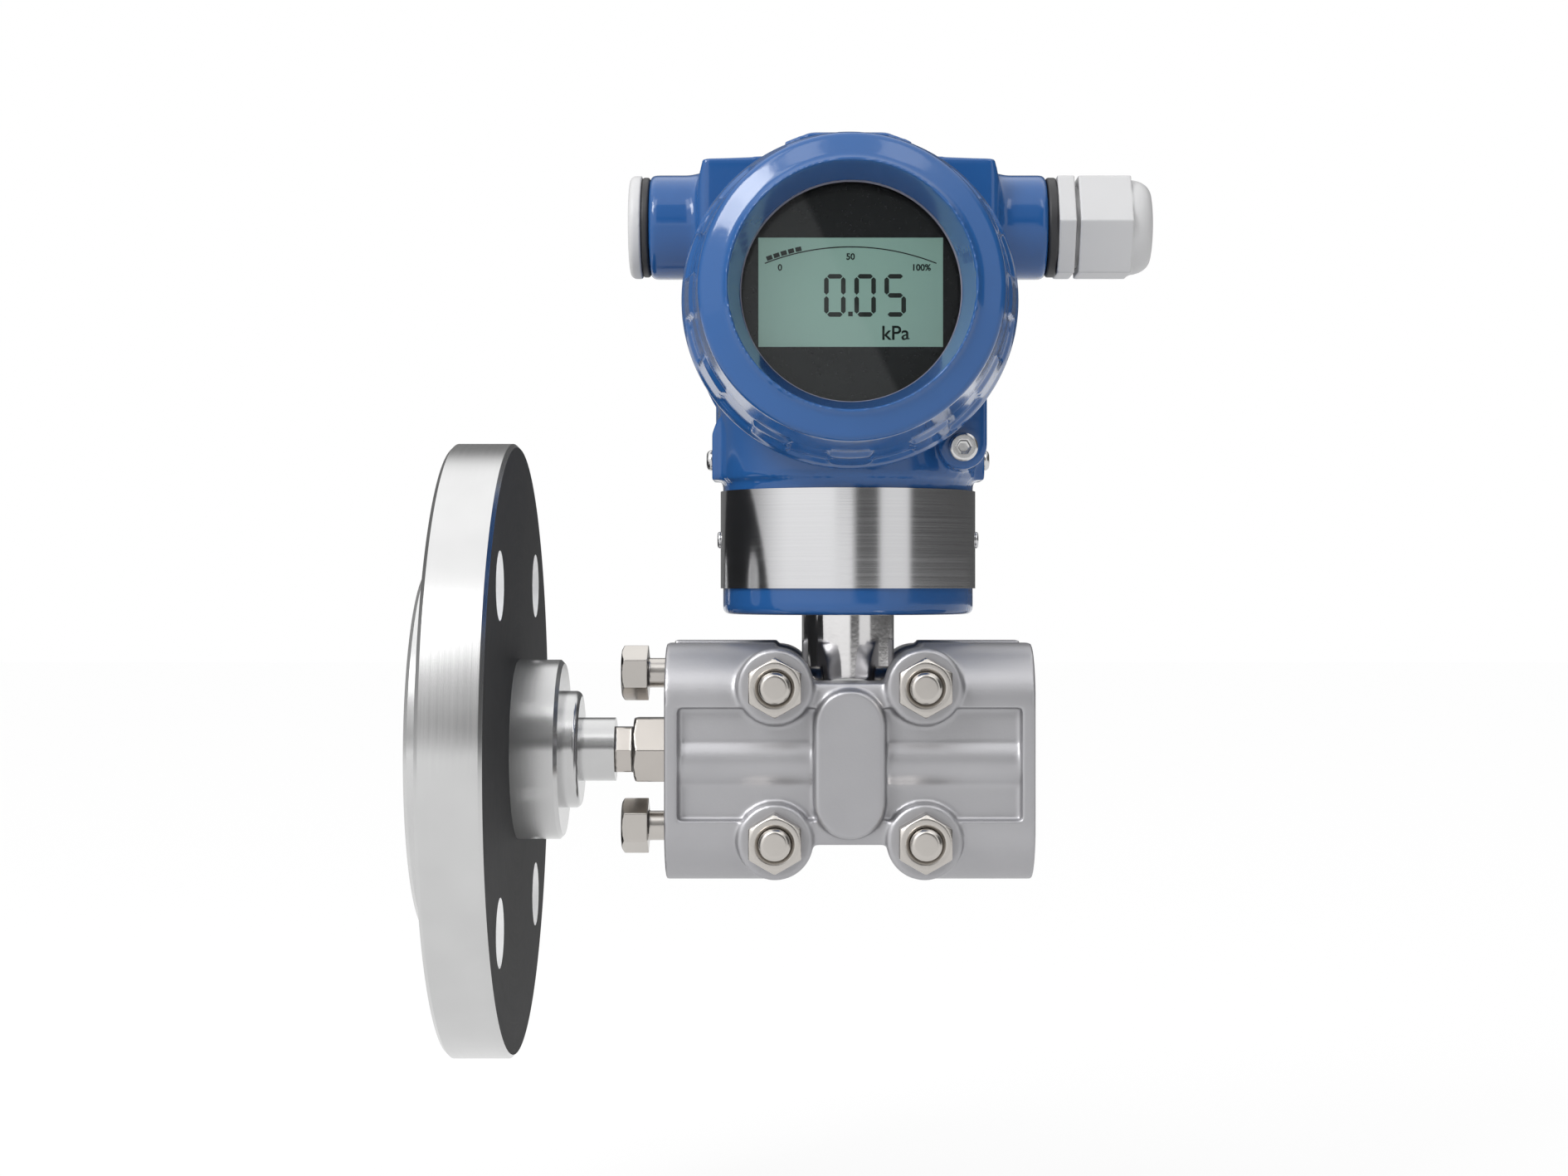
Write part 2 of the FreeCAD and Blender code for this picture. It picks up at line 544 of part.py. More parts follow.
FORWARD = FreeCAD.Rotation(Vector(1, 0, 0), 90)
BACKWARD = FreeCAD.Rotation(Vector(1, 0, 0), -90)
LEFTWARD = FreeCAD.Rotation(Vector(0, 1, 0), -90)
RIGHTWARD = FreeCAD.Rotation(Vector(0, 1, 0), 90)


def solid(kind, facing, place, **sizes):
    """A Part primitive that stands on place, a triple of expressions, and faces along a rotated +Z."""
    shape = doc.addObject(f"Part::{kind}", kind.lower())
    for name, expression in sizes.items():
        shape.setExpression(name, expression)
    shape.Placement = FreeCAD.Placement(Vector(), facing)
    for side, expression in zip("xyz", place):
        shape.setExpression(f"Placement.Base.{side}", expression)
    return shape


def combine(kind, shapes, label=None):
    """A boolean or compound of other shapes."""
    joined = doc.addObject(f"Part::{kind}", label or kind.lower())
    if kind == "Compound":
        joined.Links = shapes
    elif kind in ("MultiFuse", "MultiCommon"):
        joined.Shapes = shapes
    else:
        joined.Base, joined.Tool = shapes
    if label:
        joined.Label = label
    return joined


def hexagon_head(facing, place, height, spin):
    """A hexagon of the bolts' width, with the corners of its outer face cut to a cone."""
    prism = solid("Prism", facing * FreeCAD.Rotation(Vector(0, 0, 1), spin), place,
                  Circumradius="size.bolt_flats / sqrt(3)", Height=height)
    cone = solid("Cone", facing, place, Height=height,
                 Radius1=f"size.bolt_flats * 0.48 + {height} * tan(60 deg)", Radius2="size.bolt_flats * 0.48")
    return combine("MultiCommon", [prism, cone])


def clamp_positions(forward):
    """The four clamp bolt axes, at a distance forward of the central plane."""
    return [(f"{AXIS_X} + {across}", f"{AXIS_Y} - ({forward})", up) for across, up in CLAMP_CORNERS]


def clamp_bolts():
    """Four bolts from behind, through both process flanges."""
    bolts = []
    chamfer, radius = "size.bolt_end_chamfer", "size.bolt_diameter / 2"
    end = f"(size.clamp_boss_face + size.nut_height + size.bolt_end - {chamfer})"
    for place, tip in zip(clamp_positions("-size.clamp_boss_face"), clamp_positions(end)):
        shank = solid("Cylinder", FORWARD, place, Radius=radius, Height=f"size.clamp_boss_face + {end}")
        point = solid("Cone", FORWARD, tip, Radius1=radius, Radius2=f"{radius} - {chamfer}", Height=chamfer)
        head = hexagon_head(BACKWARD, place, "size.bolt_head", 30)
        bolts.append(combine("MultiFuse", [shank, point, head]))
    return combine("Compound", bolts, "clamp_bolts")


def clamp_nuts():
    """Four nuts on the front bosses."""
    nuts = []
    bore_radius = "(size.bolt_diameter / 2 + size.thread_clearance)"
    floor = clamp_positions("size.clamp_boss_face + size.nut_height - size.nut_sink")
    for place, sunk in zip(clamp_positions("size.clamp_boss_face"), floor):
        bore = solid("Cylinder", FORWARD, place, Radius=bore_radius, Height="size.nut_height")
        sink = solid("Cone", FORWARD, sunk, Radius1=bore_radius, Radius2=f"{bore_radius} + size.nut_sink",
                     Height="size.nut_sink")
        hole = combine("MultiFuse", [bore, sink])
        nuts.append(combine("Cut", [hexagon_head(FORWARD, place, "size.nut_height", 30), hole]))
    return combine("Compound", nuts, "clamp_nuts")


def connection_bolts():
    """Two flange bolts, started in the tapped holes round the high-pressure port."""
    bolts = []
    for sign in (1, -1):
        place = (f"{END_FACE} - size.end_bolt_stand", "0", f"{sign} * size.end_bolt_spacing / 2")
        shank = solid("Cylinder", RIGHTWARD, place, Radius="size.bolt_diameter / 2",
                      Height="size.end_bolt_stand + size.end_bolt_depth - size.bolt_end")
        bolts.append(combine("MultiFuse", [shank, hexagon_head(LEFTWARD, place, "size.end_bolt_head", 0)]))
    return combine("Compound", bolts, "connection_bolts")


def vent_plugs():
    """Socket plugs, flush with the end faces: low side's near port and high side's far port."""
    body = on_axis("vent_plugs")
    for sign in (1, -1):
        plug = new_sketch(body, "YZ_Plane", f"{sign} * size.casting_length / 2")
        circle(plug, "(size.port_bore - 2 * size.thread_clearance)", f"{sign} * {PORT_Y}")
        extrude(body, plug, "size.port_plug_length", reverse=sign > 0)
    for sign in (1, -1):
        socket = new_sketch(body, "YZ_Plane", f"{sign} * size.casting_length / 2")
        hexagon(socket, "size.port_plug_socket", f"{sign} * {PORT_Y}", "0", first_corner=30)
        pocket(body, socket, "size.port_plug_length / 2", reverse=sign < 0)
    return body


def housing():
    """Twin-compartment housing casting, on its neck socket."""
    body = on_axis("housing")
    barrel = "size.barrel_height"
    foot = new_sketch(body, "XY_Plane", "size.housing_bottom")
    circle(foot, "size.body_diameter")
    extrude(body, foot, f"{barrel} - size.housing_bottom")
    rim, bottom = number("size.body_diameter / 2"), number("size.housing_bottom")
    round_edges(body, "size.bottom_round", lambda e: is_circle(e, rim, z=bottom))
    shoulder = new_sketch(body, "XY_Plane", "size.shoulder_bottom")
    circle(shoulder, "size.shoulder_diameter")
    extrude(body, shoulder, f"{barrel} - size.shoulder_bottom")
    drum = new_sketch(body, "XZ_Plane")
    circle(drum, "size.barrel_diameter", "0", barrel)
    extrude(body, drum, "size.barrel_length", both=True)

    # ears beside the body, and the lobes that hold the cover lock screws
    ears = new_sketch(body, "XZ_Plane")
    side, inside = "size.ear_width / 2", "size.shoulder_diameter / 2"
    top = "(size.shoulder_bottom + size.ear_height)"
    polygon(ears, [(f"-{side}", "size.shoulder_bottom"), (side, "size.shoulder_bottom"), (side, top),
                   (inside, f"{top} + size.ear_slope"), (f"-{inside}", f"{top} + size.ear_slope"),
                   (f"-{side}", top)])
    extrude(body, ears, "size.ear_depth", both=True)
    for sign in (1, -1):
        lobe = new_sketch(body, "XZ_Plane")
        stadium(lobe, "size.lobe_width", "size.lobe_bottom", "size.lobe_top",
                f"{sign} * size.lobe_offset", round_top=False)
        extrude(body, lobe, "size.lobe_face", reverse=sign < 0)

    # the crown that carries both conduit entries, and the pad on top
    crown = new_sketch(body, "XZ_Plane")
    polygon(crown, [
        ("-size.crown_width / 2", "size.crown_bottom"), ("size.crown_width / 2", "size.crown_bottom"),
        ("size.crown_width / 2", "size.crown_shoulder"), ("size.crown_flat / 2", "size.crown_corner"),
        ("size.top_pad_width / 2", "size.crown_top"), ("-size.top_pad_width / 2", "size.crown_top"),
        ("-size.crown_flat / 2", "size.crown_corner"), ("-size.crown_width / 2", "size.crown_shoulder"),
    ])
    extrude(body, crown, "size.crown_depth", both=True)
    side = number("size.crown_width / 2")
    round_edges(body, "size.crown_round", lambda e: runs_along(e, Vector(0, 0, 1))
                and abs(abs(e.Vertexes[0].X) - side) < 1e-4)
    tube = new_sketch(body, "XY_Plane", "size.conduit_height")
    boss, edge = "(size.conduit_boss / 2)", "size.conduit_edge"
    right = [("size.flare_span / 2", f"{boss} + size.flare_rise"),
             (f"{CONDUIT_END} - size.conduit_collar", boss), (f"{CONDUIT_END} - {edge}", boss),
             (CONDUIT_END, f"{boss} - {edge}"), (CONDUIT_END, "0")]
    left = [(f"-({station})", radius) for station, radius in reversed(right)]
    polygon(tube, left + right)
    turn(body, tube, "H_Axis")
    pad = new_sketch(body, "XZ_Plane")
    half, flat = "size.top_pad_width / 2", "size.top_pad_flat / 2"
    polygon(pad, [(f"-{half}", barrel), (half, barrel), (half, "size.top_pad_side"),
                  (flat, "size.top_pad_height"), (f"-{flat}", "size.top_pad_height"),
                  (f"-{half}", "size.top_pad_side")])
    extrude(body, pad, "size.top_pad_depth", both=True)

    # the two compartments with their seal bores, and the wall between them
    for sign, depth in ((1, f"{MOUTH} - size.front_wall"), (-1, f"{MOUTH} + size.rear_wall")):
        mouth = new_sketch(body, "XZ_Plane", f"{sign} * {MOUTH}")
        circle(mouth, "size.cover_bore", "0", barrel)
        pocket(body, mouth, depth, reverse=sign < 0)
        seat = new_sketch(body, "XZ_Plane", f"{sign} * {MOUTH}")
        circle(seat, "size.seal_bore", "0", barrel)
        pocket(body, seat, "size.seal_bore_depth", reverse=sign < 0)

    # conduit threads, neck socket, the cavity under the barrel and its wire way
    entry = new_sketch(body, "YZ_Plane")
    circle(entry, "(size.conduit_thread + 2 * size.thread_clearance)", "0", "size.conduit_height")
    pocket(body, entry, "size.conduit_span", both=True)
    socket = new_sketch(body, "XY_Plane", "size.housing_bottom")
    circle(socket, "(size.neck_diameter + 2 * size.swivel_clearance)")
    pocket(body, socket, "size.neck_socket", reverse=True)
    cavity = new_sketch(body, "XY_Plane", "size.cavity_roof")
    circle(cavity, "size.cavity_diameter")
    pocket(body, cavity, "size.cavity_roof - size.cavity_floor")
    lower_wire = new_sketch(body, "XY_Plane", NECK_TOP)
    circle(lower_wire, "size.wire_bore")
    pocket(body, lower_wire, f"size.cavity_floor - {NECK_TOP}", reverse=True)
    upper_wire = new_sketch(body, "XY_Plane", "size.cavity_roof")
    circle(upper_wire, "size.wire_bore", "0", "-size.wire_offset")
    pocket(body, upper_wire, f"{barrel} - size.cavity_roof", reverse=True)

    # screw holes: cover locks, ears and the nameplate band's rivets
    for sign in (1, -1):
        lock = new_sketch(body, "XZ_Plane", f"{sign} * size.lobe_face")
        circle(lock, "(size.lock_diameter + 2 * size.thread_clearance)",
               f"{sign} * size.lobe_offset", "size.lobe_height")
        pocket(body, lock, "size.lock_depth", reverse=sign < 0)
        ear = new_sketch(body, "YZ_Plane", f"{sign} * size.ear_width / 2")
        circle(ear, "(size.ear_screw_diameter + 2 * size.thread_clearance)", "0", "size.ear_screw_height")
        pocket(body, ear, "size.ear_screw_depth", reverse=sign < 0)
        rivet = new_sketch(body, "YZ_Plane", f"{sign} * {BAND_RADIUS}")
        circle(rivet, "(size.rivet_diameter + 2 * size.thread_clearance)", "0",
               "size.band_bottom + size.band_height / 2")
        pocket(body, rivet, "size.rivet_depth", reverse=sign < 0)
    return body


def nameplate_band():
    """Stainless band round the body, pierced for its two rivets."""
    body = on_axis("nameplate_band")
    inner = "(size.body_diameter / 2 + size.band_gap)"
    turned_along_z(body, [(inner, "size.band_bottom"), (BAND_RADIUS, "size.band_bottom"),
                          (BAND_RADIUS, "size.band_bottom + size.band_height"),
                          (inner, "size.band_bottom + size.band_height")])
    holes = new_sketch(body, "YZ_Plane")
    circle(holes, "(size.rivet_diameter + 2 * size.thread_clearance)", "0",
           "size.band_bottom + size.band_height / 2")
    pocket(body, holes, f"2 * {BAND_RADIUS}", both=True)
    return body


def side_screws(label, face, height, shank, depth, head, rise):
    """Two round-headed screws that point at each other along X, with their heads on a face station."""
    body = on_axis(label, z=height)
    for sign in (1, -1):
        stem = new_sketch(body, "YZ_Plane", f"{sign} * {face}")
        circle(stem, shank)
        extrude(body, stem, depth, reverse=sign > 0)
        cap = new_sketch(body, "YZ_Plane", f"{sign} * {face}")
        circle(cap, head)
        extrude(body, cap, rise, reverse=sign < 0)
    radius, end = number(f"{head} / 2"), number(f"{face} + {rise}")
    round_edges(body, f"{rise} * 3 / 4",
                lambda e: is_circle(e, radius) and abs(abs(e.Curve.Center.x) - end) < 1e-4)
    return body


def cover_lock_screws():
    """Socket screws in the housing's two lobes, one for each cover."""
    body = on_axis("cover_lock_screws", z="size.lobe_height")
    for sign in (1, -1):
        place = f"{sign} * size.lobe_offset"
        stem = new_sketch(body, "XZ_Plane", f"{sign} * size.lobe_face")
        circle(stem, "size.lock_diameter", place)
        extrude(body, stem, "size.lock_depth - size.screw_end_gap", reverse=sign > 0)
        head = new_sketch(body, "XZ_Plane", f"{sign} * size.lobe_face")
        circle(head, "size.lock_head", place)
        extrude(body, head, "size.lock_rise", reverse=sign < 0)
    radius, face = number("size.lock_head / 2"), number("size.lobe_face + size.lock_rise")
    round_edges(body, "size.lock_edge",
                lambda e: is_circle(e, radius) and abs(abs(e.Curve.Center.y) - face) < 1e-4, "Chamfer")
    for sign in (1, -1):
        socket = new_sketch(body, "XZ_Plane", f"{sign} * (size.lobe_face + size.lock_rise)")
        hexagon(socket, "size.lock_socket", f"{sign} * size.lobe_offset", "0")
        pocket(body, socket, "size.lock_socket_depth", reverse=sign < 0)
    return body


def closure_seal(label, start, thickness, side):
    """Rubber ring between a conduit boss and what closes it."""
    body = on_axis(label, "size.conduit_height", turn=0.0 if side > 0 else 180.0)
    outer, inner = "size.closure_seal_diameter / 2", "size.closure_seal_inner / 2"
    end = f"{start} + {thickness}"
    turned_along_x(body, [(start, inner), (start, outer), (end, outer), (end, inner)])
    radius = number(outer)
    round_edges(body, "size.seal_round", lambda e: is_circle(e, radius))
    return body


def blanking_plug():
    """Domed plug that closes the left conduit entry."""
    body = on_axis("blanking_plug", "size.conduit_height", turn=180.0)
    seat = f"({CONDUIT_END} + size.plug_seal_thickness)"
    head = "size.plug_head / 2"
    turned_along_x(body, [
        (f"{seat} - size.plug_seal_thickness - size.plug_shank", "0"),
        (f"{seat} - size.plug_seal_thickness - size.plug_shank", THREAD_RADIUS), (seat, THREAD_RADIUS),
        (seat, head), (f"{seat} + size.plug_thickness", head), (f"{seat} + size.plug_thickness", "0"),
    ])
    radius, face = number(head), number(f"{seat} + size.plug_thickness")
    round_edges(body, "size.plug_round", lambda e: is_circle(e, radius, x=face))
    return body


GLAND_SEAT = f"({CONDUIT_END} + size.gland_seal_thickness)"
GLAND_FACE = f"({GLAND_SEAT} + size.gland_flange)"
GLAND_NUT_BACK = f"({GLAND_FACE} + size.gland_gap)"
GLAND_NUT_FRONT = f"({GLAND_NUT_BACK} + size.gland_nut_length)"
GLAND_THREAD_END = f"({GLAND_NUT_BACK} + size.gland_thread_length)"


def gland_body():
    """Cable gland body: entry thread, hexagon and the thread for its nut, bored right through."""
    body = on_axis("gland_body", "size.conduit_height")
    inner, start = "size.gland_bore / 2", f"({CONDUIT_END} - size.plug_shank)"
    thread = "size.gland_thread / 2"
    turned_along_x(body, [
        (start, inner), (start, THREAD_RADIUS), (GLAND_SEAT, THREAD_RADIUS), (GLAND_SEAT, thread),
        (GLAND_THREAD_END, thread), (GLAND_THREAD_END, inner),
    ])
    flange = new_sketch(body, "YZ_Plane", GLAND_SEAT)
    hexagon(flange, "size.gland_flats", first_corner=0)
    circle(flange, "(size.gland_bore + size.gland_relief)")
    extrude(body, flange, "size.gland_flange")
    return body


def gland_insert():
    """Rubber bush that grips the cable."""
    body = on_axis("gland_insert", "size.conduit_height")
    start = f"({GLAND_NUT_BACK} + size.bush_start)"
    outer, inner = "size.bush_diameter / 2", "size.cable_diameter / 2"
    end = f"({start} + size.bush_length)"
    lip = f"({GLAND_THREAD_END} + size.bush_start)"
    nose = "(size.gland_nut_mouth / 2 - size.bush_nose_gap)"
    turned_along_x(body, [(start, inner), (start, outer), (lip, outer), (lip, nose),
                          (end, nose), (end, inner)])
    return body


def gland_nut():
    """Domed hexagon nut of the cable gland."""
    body = on_axis("gland_nut", "size.conduit_height")
    prism = new_sketch(body, "YZ_Plane", GLAND_NUT_BACK)
    hexagon(prism, "size.gland_nut_flats", first_corner=0)
    extrude(body, prism, "size.gland_nut_length")
    dome = new_sketch(body, "XY_Plane")
    outside, length = "size.gland_nut_flats", "size.gland_dome_length"
    start = f"({GLAND_NUT_FRONT} - {length})"
    root, end = "(size.gland_dome_root / 2)", "(size.gland_dome_end / 2)"
    steps = [(f"{start} + {length} * sin({angle} deg)", f"{end} + ({root} - {end}) * cos({angle} deg)")
             for angle in range(0, 91, 15)]
    polygon(dome, [(start, outside)] + steps + [(GLAND_NUT_FRONT, outside)])
    turn(body, dome, "H_Axis", "Groove")
    bore = new_sketch(body, "XY_Plane")
    thread = "(size.gland_thread / 2 + size.gland_running)"
    mouth = "size.gland_nut_mouth / 2"
    floor = f"({GLAND_NUT_FRONT} - size.gland_nut_wall - ({thread} - {mouth}))"
    polygon(bore, [(GLAND_NUT_BACK, "0"), (GLAND_NUT_BACK, thread), (floor, thread),
                   (f"{GLAND_NUT_FRONT} - size.gland_nut_wall", mouth), (GLAND_NUT_FRONT, mouth),
                   (GLAND_NUT_FRONT, "0")])
    turn(body, bore, "H_Axis", "Groove")
    return body


def add_lugs(body):
    """Adds the shallow lugs round a cover, for a spanner."""
    root, end = "(size.lug_root / 2)", f"({LUG_END} - size.lug_end)"
    slope = "((size.lug_root - size.cover_waist) / 2 / size.lug_length)"
    lug = new_sketch(body, "XY_Plane")
    top = f"({root} - {slope} * ({end} - {LUG_START}) + size.lug_rise)"
    outline = [(f"{root} - size.lug_rise * 2", LUG_START), (f"{root} + size.lug_rise", LUG_START),
               (top, end), ("size.cover_waist / 2", LUG_END), (f"{top} - size.lug_rise * 3", end)]
    polygon(lug, [(radius, f"-({forward})") for radius, forward in outline])
    first = turn(body, lug, "V_Axis", angle="size.lug_angle")
    pattern(body, [first], "PolarPattern", "Y_Axis", "size.lug_count")


def spigot_outline():
    """The threaded spigot of a cover, with its seal groove, up to the front of its lugs."""
    thread = "(size.cover_bore / 2 - size.cover_running)"
    neck = "size.seal_neck / 2"
    seat = f"({MOUTH} - size.seal_bore_depth)"
    flange, root = "size.flange_diameter / 2", "size.lug_root / 2"
    return [(thread, SPIGOT_END), (thread, seat), (neck, seat), (neck, COVER_BACK), (flange, COVER_BACK),
            (flange, f"{COVER_BACK} + size.flange_edge"),
            (f"{root} + size.lug_rise", LUG_START), (root, LUG_START), ("size.cover_waist / 2", LUG_END)]


def front_cover():
    """Screwed front cover with its lugs, sloped face and the deep bevel round its window."""
    body = on_axis("front_cover", "size.barrel_height")
    inner = "size.cover_inner / 2"
    turned_forward(body, [(inner, SPIGOT_END)] + spigot_outline() + [
        ("size.cover_edge / 2", EDGE_STATION), ("size.ring_outer / 2", RING_STATION),
        ("size.ring_crest / 2", CREST_STATION), ("size.window_opening / 2", WINDOW_FRONT),
        ("size.window_opening / 2", WINDOW_SEAT), (inner, WINDOW_SEAT),
    ])
    edge, station = number("size.cover_edge / 2"), number(EDGE_STATION)
    round_edges(body, "size.cover_edge_round", lambda e: is_circle(e, edge, y=-station))
    add_lugs(body)
    return body


def rear_cover():
    """Screwed blind cover of the terminal side. It is drawn facing forward and turned half round."""
    body = on_axis("rear_cover", "size.barrel_height", turn=180.0)
    inner, face = "size.cover_inner / 2", REAR_FACE
    turned_forward(body, [(inner, SPIGOT_END)] + spigot_outline() + [
        ("size.rear_cover_edge / 2", face), ("size.rear_cover_ring / 2", face),
        ("size.rear_cover_ring / 2 - size.rear_cover_dish", f"{face} - size.rear_cover_dish"),
        ("0", f"{face} - size.rear_cover_dish"), ("0", f"{face} - size.rear_cover_wall"),
        (inner, f"{face} - size.rear_cover_wall"),
    ])
    edge, station = number("size.rear_cover_edge / 2"), number(face)
    round_edges(body, "size.cover_edge_round", lambda e: is_circle(e, edge, y=-station))
    add_lugs(body)
    return body


def cover_seal(label, side):
    """O-ring in the seal bore of a compartment's mouth."""
    ring = doc.addObject("Part::Torus", label)
    ring.Label = label
    ring.setExpression("Radius1", "size.seal_ring / 2")
    ring.setExpression("Radius2", "size.seal_section / 2")
    ring.Placement = FreeCAD.Placement(Vector(), FreeCAD.Rotation(Vector(1, 0, 0), 90))
    ring.setExpression("Placement.Base.x", AXIS_X)
    ring.setExpression("Placement.Base.y", f"{AXIS_Y} - {side} * {SEAL_STATION}")
    ring.setExpression("Placement.Base.z", "size.barrel_height")
    return ring


def window_ring(label, outer, inner, back, thickness):
    """A disc or ring of the window, seated in the front cover."""
    body = on_axis(label, "size.barrel_height")
    outline = new_sketch(body, "XZ_Plane", back)
    circle(outline, outer)
    if inner:
        circle(outline, inner)
    extrude(body, outline, thickness)
    return body


def electronics_module():
    """Round module that holds the circuit boards, on the wall between the compartments."""
    body = on_axis("electronics_module", "size.barrel_height")
    puck = new_sketch(body, "XZ_Plane", "size.front_wall")
    circle(puck, "size.module_diameter")
    extrude(body, puck, "size.module_length")
    return body


BEZEL_BACK = "(size.front_wall + size.module_length)"
BEZEL_FRONT = f"({BEZEL_BACK} + size.bezel_length)"


def screen_edges(gap):
    """Half the screen's width, and the heights of its lower and upper edges, drawn in by a gap."""
    return (f"(size.screen_width / 2 - {gap})", f"(size.screen_rise - size.screen_height / 2 + {gap})",
            f"(size.screen_rise + size.screen_height / 2 - {gap})")


def display_bezel():
    """Black disc round the screen."""
    body = on_axis("display_bezel", "size.barrel_height")
    disc = new_sketch(body, "XZ_Plane", BEZEL_BACK)
    circle(disc, "size.bezel_diameter")
    extrude(body, disc, "size.bezel_length")
    recess = new_sketch(body, "XZ_Plane", BEZEL_FRONT)
    half, low, high = screen_edges("0")
    rectangle(recess, f"-{half}", low, half, high)
    pocket(body, recess, "size.screen_recess")
    return body


def lcd_panel():
    """Screen in the bezel's recess."""
    body = on_axis("lcd_panel", "size.barrel_height")
    glass = new_sketch(body, "XZ_Plane", f"{BEZEL_FRONT} - size.screen_recess")
    half, low, high = screen_edges("size.thread_clearance")
    rectangle(glass, f"-{half}", low, half, high)
    extrude(body, glass, "size.screen_thickness")
    return body


TERMINAL_TOP = "(size.terminal_depth - size.rear_wall)"
TERMINAL_SCREW_PLACES = ["-size.terminal_pitch", "0", "size.terminal_pitch"]


def terminal_block():
    """Terminal block on the rear face of the wall, with a well for each screw."""
    body = on_axis("terminal_block", "size.barrel_height - size.terminal_drop")
    block = new_sketch(body, "XZ_Plane", "size.rear_wall")
    rectangle(block, "-size.terminal_width / 2", "-size.terminal_height / 2",
              "size.terminal_width / 2", "size.terminal_height / 2")
    extrude(body, block, "size.terminal_depth", reverse=True)
    wells = new_sketch(body, "XZ_Plane", f"-{TERMINAL_TOP}")
    for place in TERMINAL_SCREW_PLACES:
        circle(wells, "(size.terminal_screw + 2 * size.thread_clearance)", place)
    pocket(body, wells, "size.terminal_screw_rise", reverse=True)
    return body


def terminal_screws():
    """The three wire screws of the terminal block."""
    body = on_axis("terminal_screws", "size.barrel_height - size.terminal_drop")
    screws = new_sketch(body, "XZ_Plane", f"-({TERMINAL_TOP} - size.terminal_screw_rise)")
    for place in TERMINAL_SCREW_PLACES:
        circle(screws, "size.terminal_screw", place)
    extrude(body, screws, "2 * size.terminal_screw_rise", reverse=True)
    return body


pieces = [
    seal_flange(), seal_body(), seal_diaphragm(), hex_nipple(),
    process_flange("front_process_flange", False), process_flange("rear_process_flange", True),
    sensor_capsule(), capsule_gasket("low_side_gasket", 1), capsule_gasket("high_side_gasket", -1),
    capsule_foil("low_side_diaphragm", 1), capsule_foil("high_side_diaphragm", -1), sensor_neck(),
    clamp_bolts(), clamp_nuts(), connection_bolts(), vent_plugs(),
    housing(), nameplate_band(),
    side_screws("band_rivets", BAND_RADIUS, "size.band_bottom + size.band_height / 2", "size.rivet_diameter",
                "size.rivet_depth - size.screw_end_gap", "size.rivet_head", "size.rivet_rise"),
    side_screws("ear_screws", "(size.ear_width / 2)", "size.ear_screw_height", "size.ear_screw_diameter",
                "size.ear_screw_depth - size.screw_end_gap", "size.ear_screw_head",
                "size.ear_screw_rise"),
    cover_lock_screws(),
    closure_seal("plug_seal", CONDUIT_END, "size.plug_seal_thickness", -1), blanking_plug(),
    closure_seal("gland_seal", CONDUIT_END, "size.gland_seal_thickness", 1), gland_body(),
    gland_insert(), gland_nut(),
    front_cover(), rear_cover(), cover_seal("front_cover_seal", 1), cover_seal("rear_cover_seal", -1),
    window_ring("window_gasket", "size.glass_diameter", "size.window_seal_inner", GLASS_FRONT,
                "size.window_seal"),
    window_ring("window_glass", "size.glass_diameter", None, GLASS_BACK, "size.glass_thickness"),
    window_ring("window_retainer", "size.glass_diameter", "size.retainer_inner",
                f"{GLASS_BACK} - size.retainer_thickness", "size.retainer_thickness"),
    electronics_module(), display_bezel(), lcd_panel(), terminal_block(), terminal_screws(),
]
doc.recompute()

failed = [f"{o.Label}: {o.State}" for o in doc.Objects if "Invalid" in o.State or "Error" in o.State]
failed += [f"{p.Label}: no valid shape" for p in pieces if p.Shape.isNull() or not p.Shape.isValid()]
if failed:
    raise SystemExit("The model has faults:\n" + "\n".join(failed))

os.makedirs("parts", exist_ok=True)
for piece in pieces:
    piece.Shape.exportStep(f"parts/{piece.Label}.step")
    print(f"{piece.Label}: {len(piece.Shape.Solids)} solid(s), {piece.Shape.Volume:.1f} mm3")
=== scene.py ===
import json
import math

import bpy
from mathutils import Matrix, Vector


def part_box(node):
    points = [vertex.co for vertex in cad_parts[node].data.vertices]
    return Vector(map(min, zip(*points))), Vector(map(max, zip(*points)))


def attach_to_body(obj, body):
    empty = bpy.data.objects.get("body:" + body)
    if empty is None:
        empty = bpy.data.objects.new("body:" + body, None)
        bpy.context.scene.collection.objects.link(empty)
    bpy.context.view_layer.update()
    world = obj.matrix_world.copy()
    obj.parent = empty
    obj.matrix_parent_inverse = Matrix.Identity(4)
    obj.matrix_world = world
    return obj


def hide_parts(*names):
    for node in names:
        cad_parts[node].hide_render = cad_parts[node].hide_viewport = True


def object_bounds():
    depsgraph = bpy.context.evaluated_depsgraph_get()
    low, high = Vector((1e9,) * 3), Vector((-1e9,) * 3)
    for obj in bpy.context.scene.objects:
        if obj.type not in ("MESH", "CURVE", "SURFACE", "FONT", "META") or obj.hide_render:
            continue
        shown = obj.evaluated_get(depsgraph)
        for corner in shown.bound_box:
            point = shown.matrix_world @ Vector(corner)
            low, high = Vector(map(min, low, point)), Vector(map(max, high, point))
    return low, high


# Looks of the flanged differential pressure transmitter, in metres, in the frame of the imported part.

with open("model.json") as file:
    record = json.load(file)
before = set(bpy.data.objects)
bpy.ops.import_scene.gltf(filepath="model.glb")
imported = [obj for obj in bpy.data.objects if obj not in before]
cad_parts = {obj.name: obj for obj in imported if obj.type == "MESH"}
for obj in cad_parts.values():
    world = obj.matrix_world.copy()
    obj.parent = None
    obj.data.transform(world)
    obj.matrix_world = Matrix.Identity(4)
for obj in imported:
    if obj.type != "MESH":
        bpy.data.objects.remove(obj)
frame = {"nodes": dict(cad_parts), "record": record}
cad_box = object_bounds()
MM = 0.001

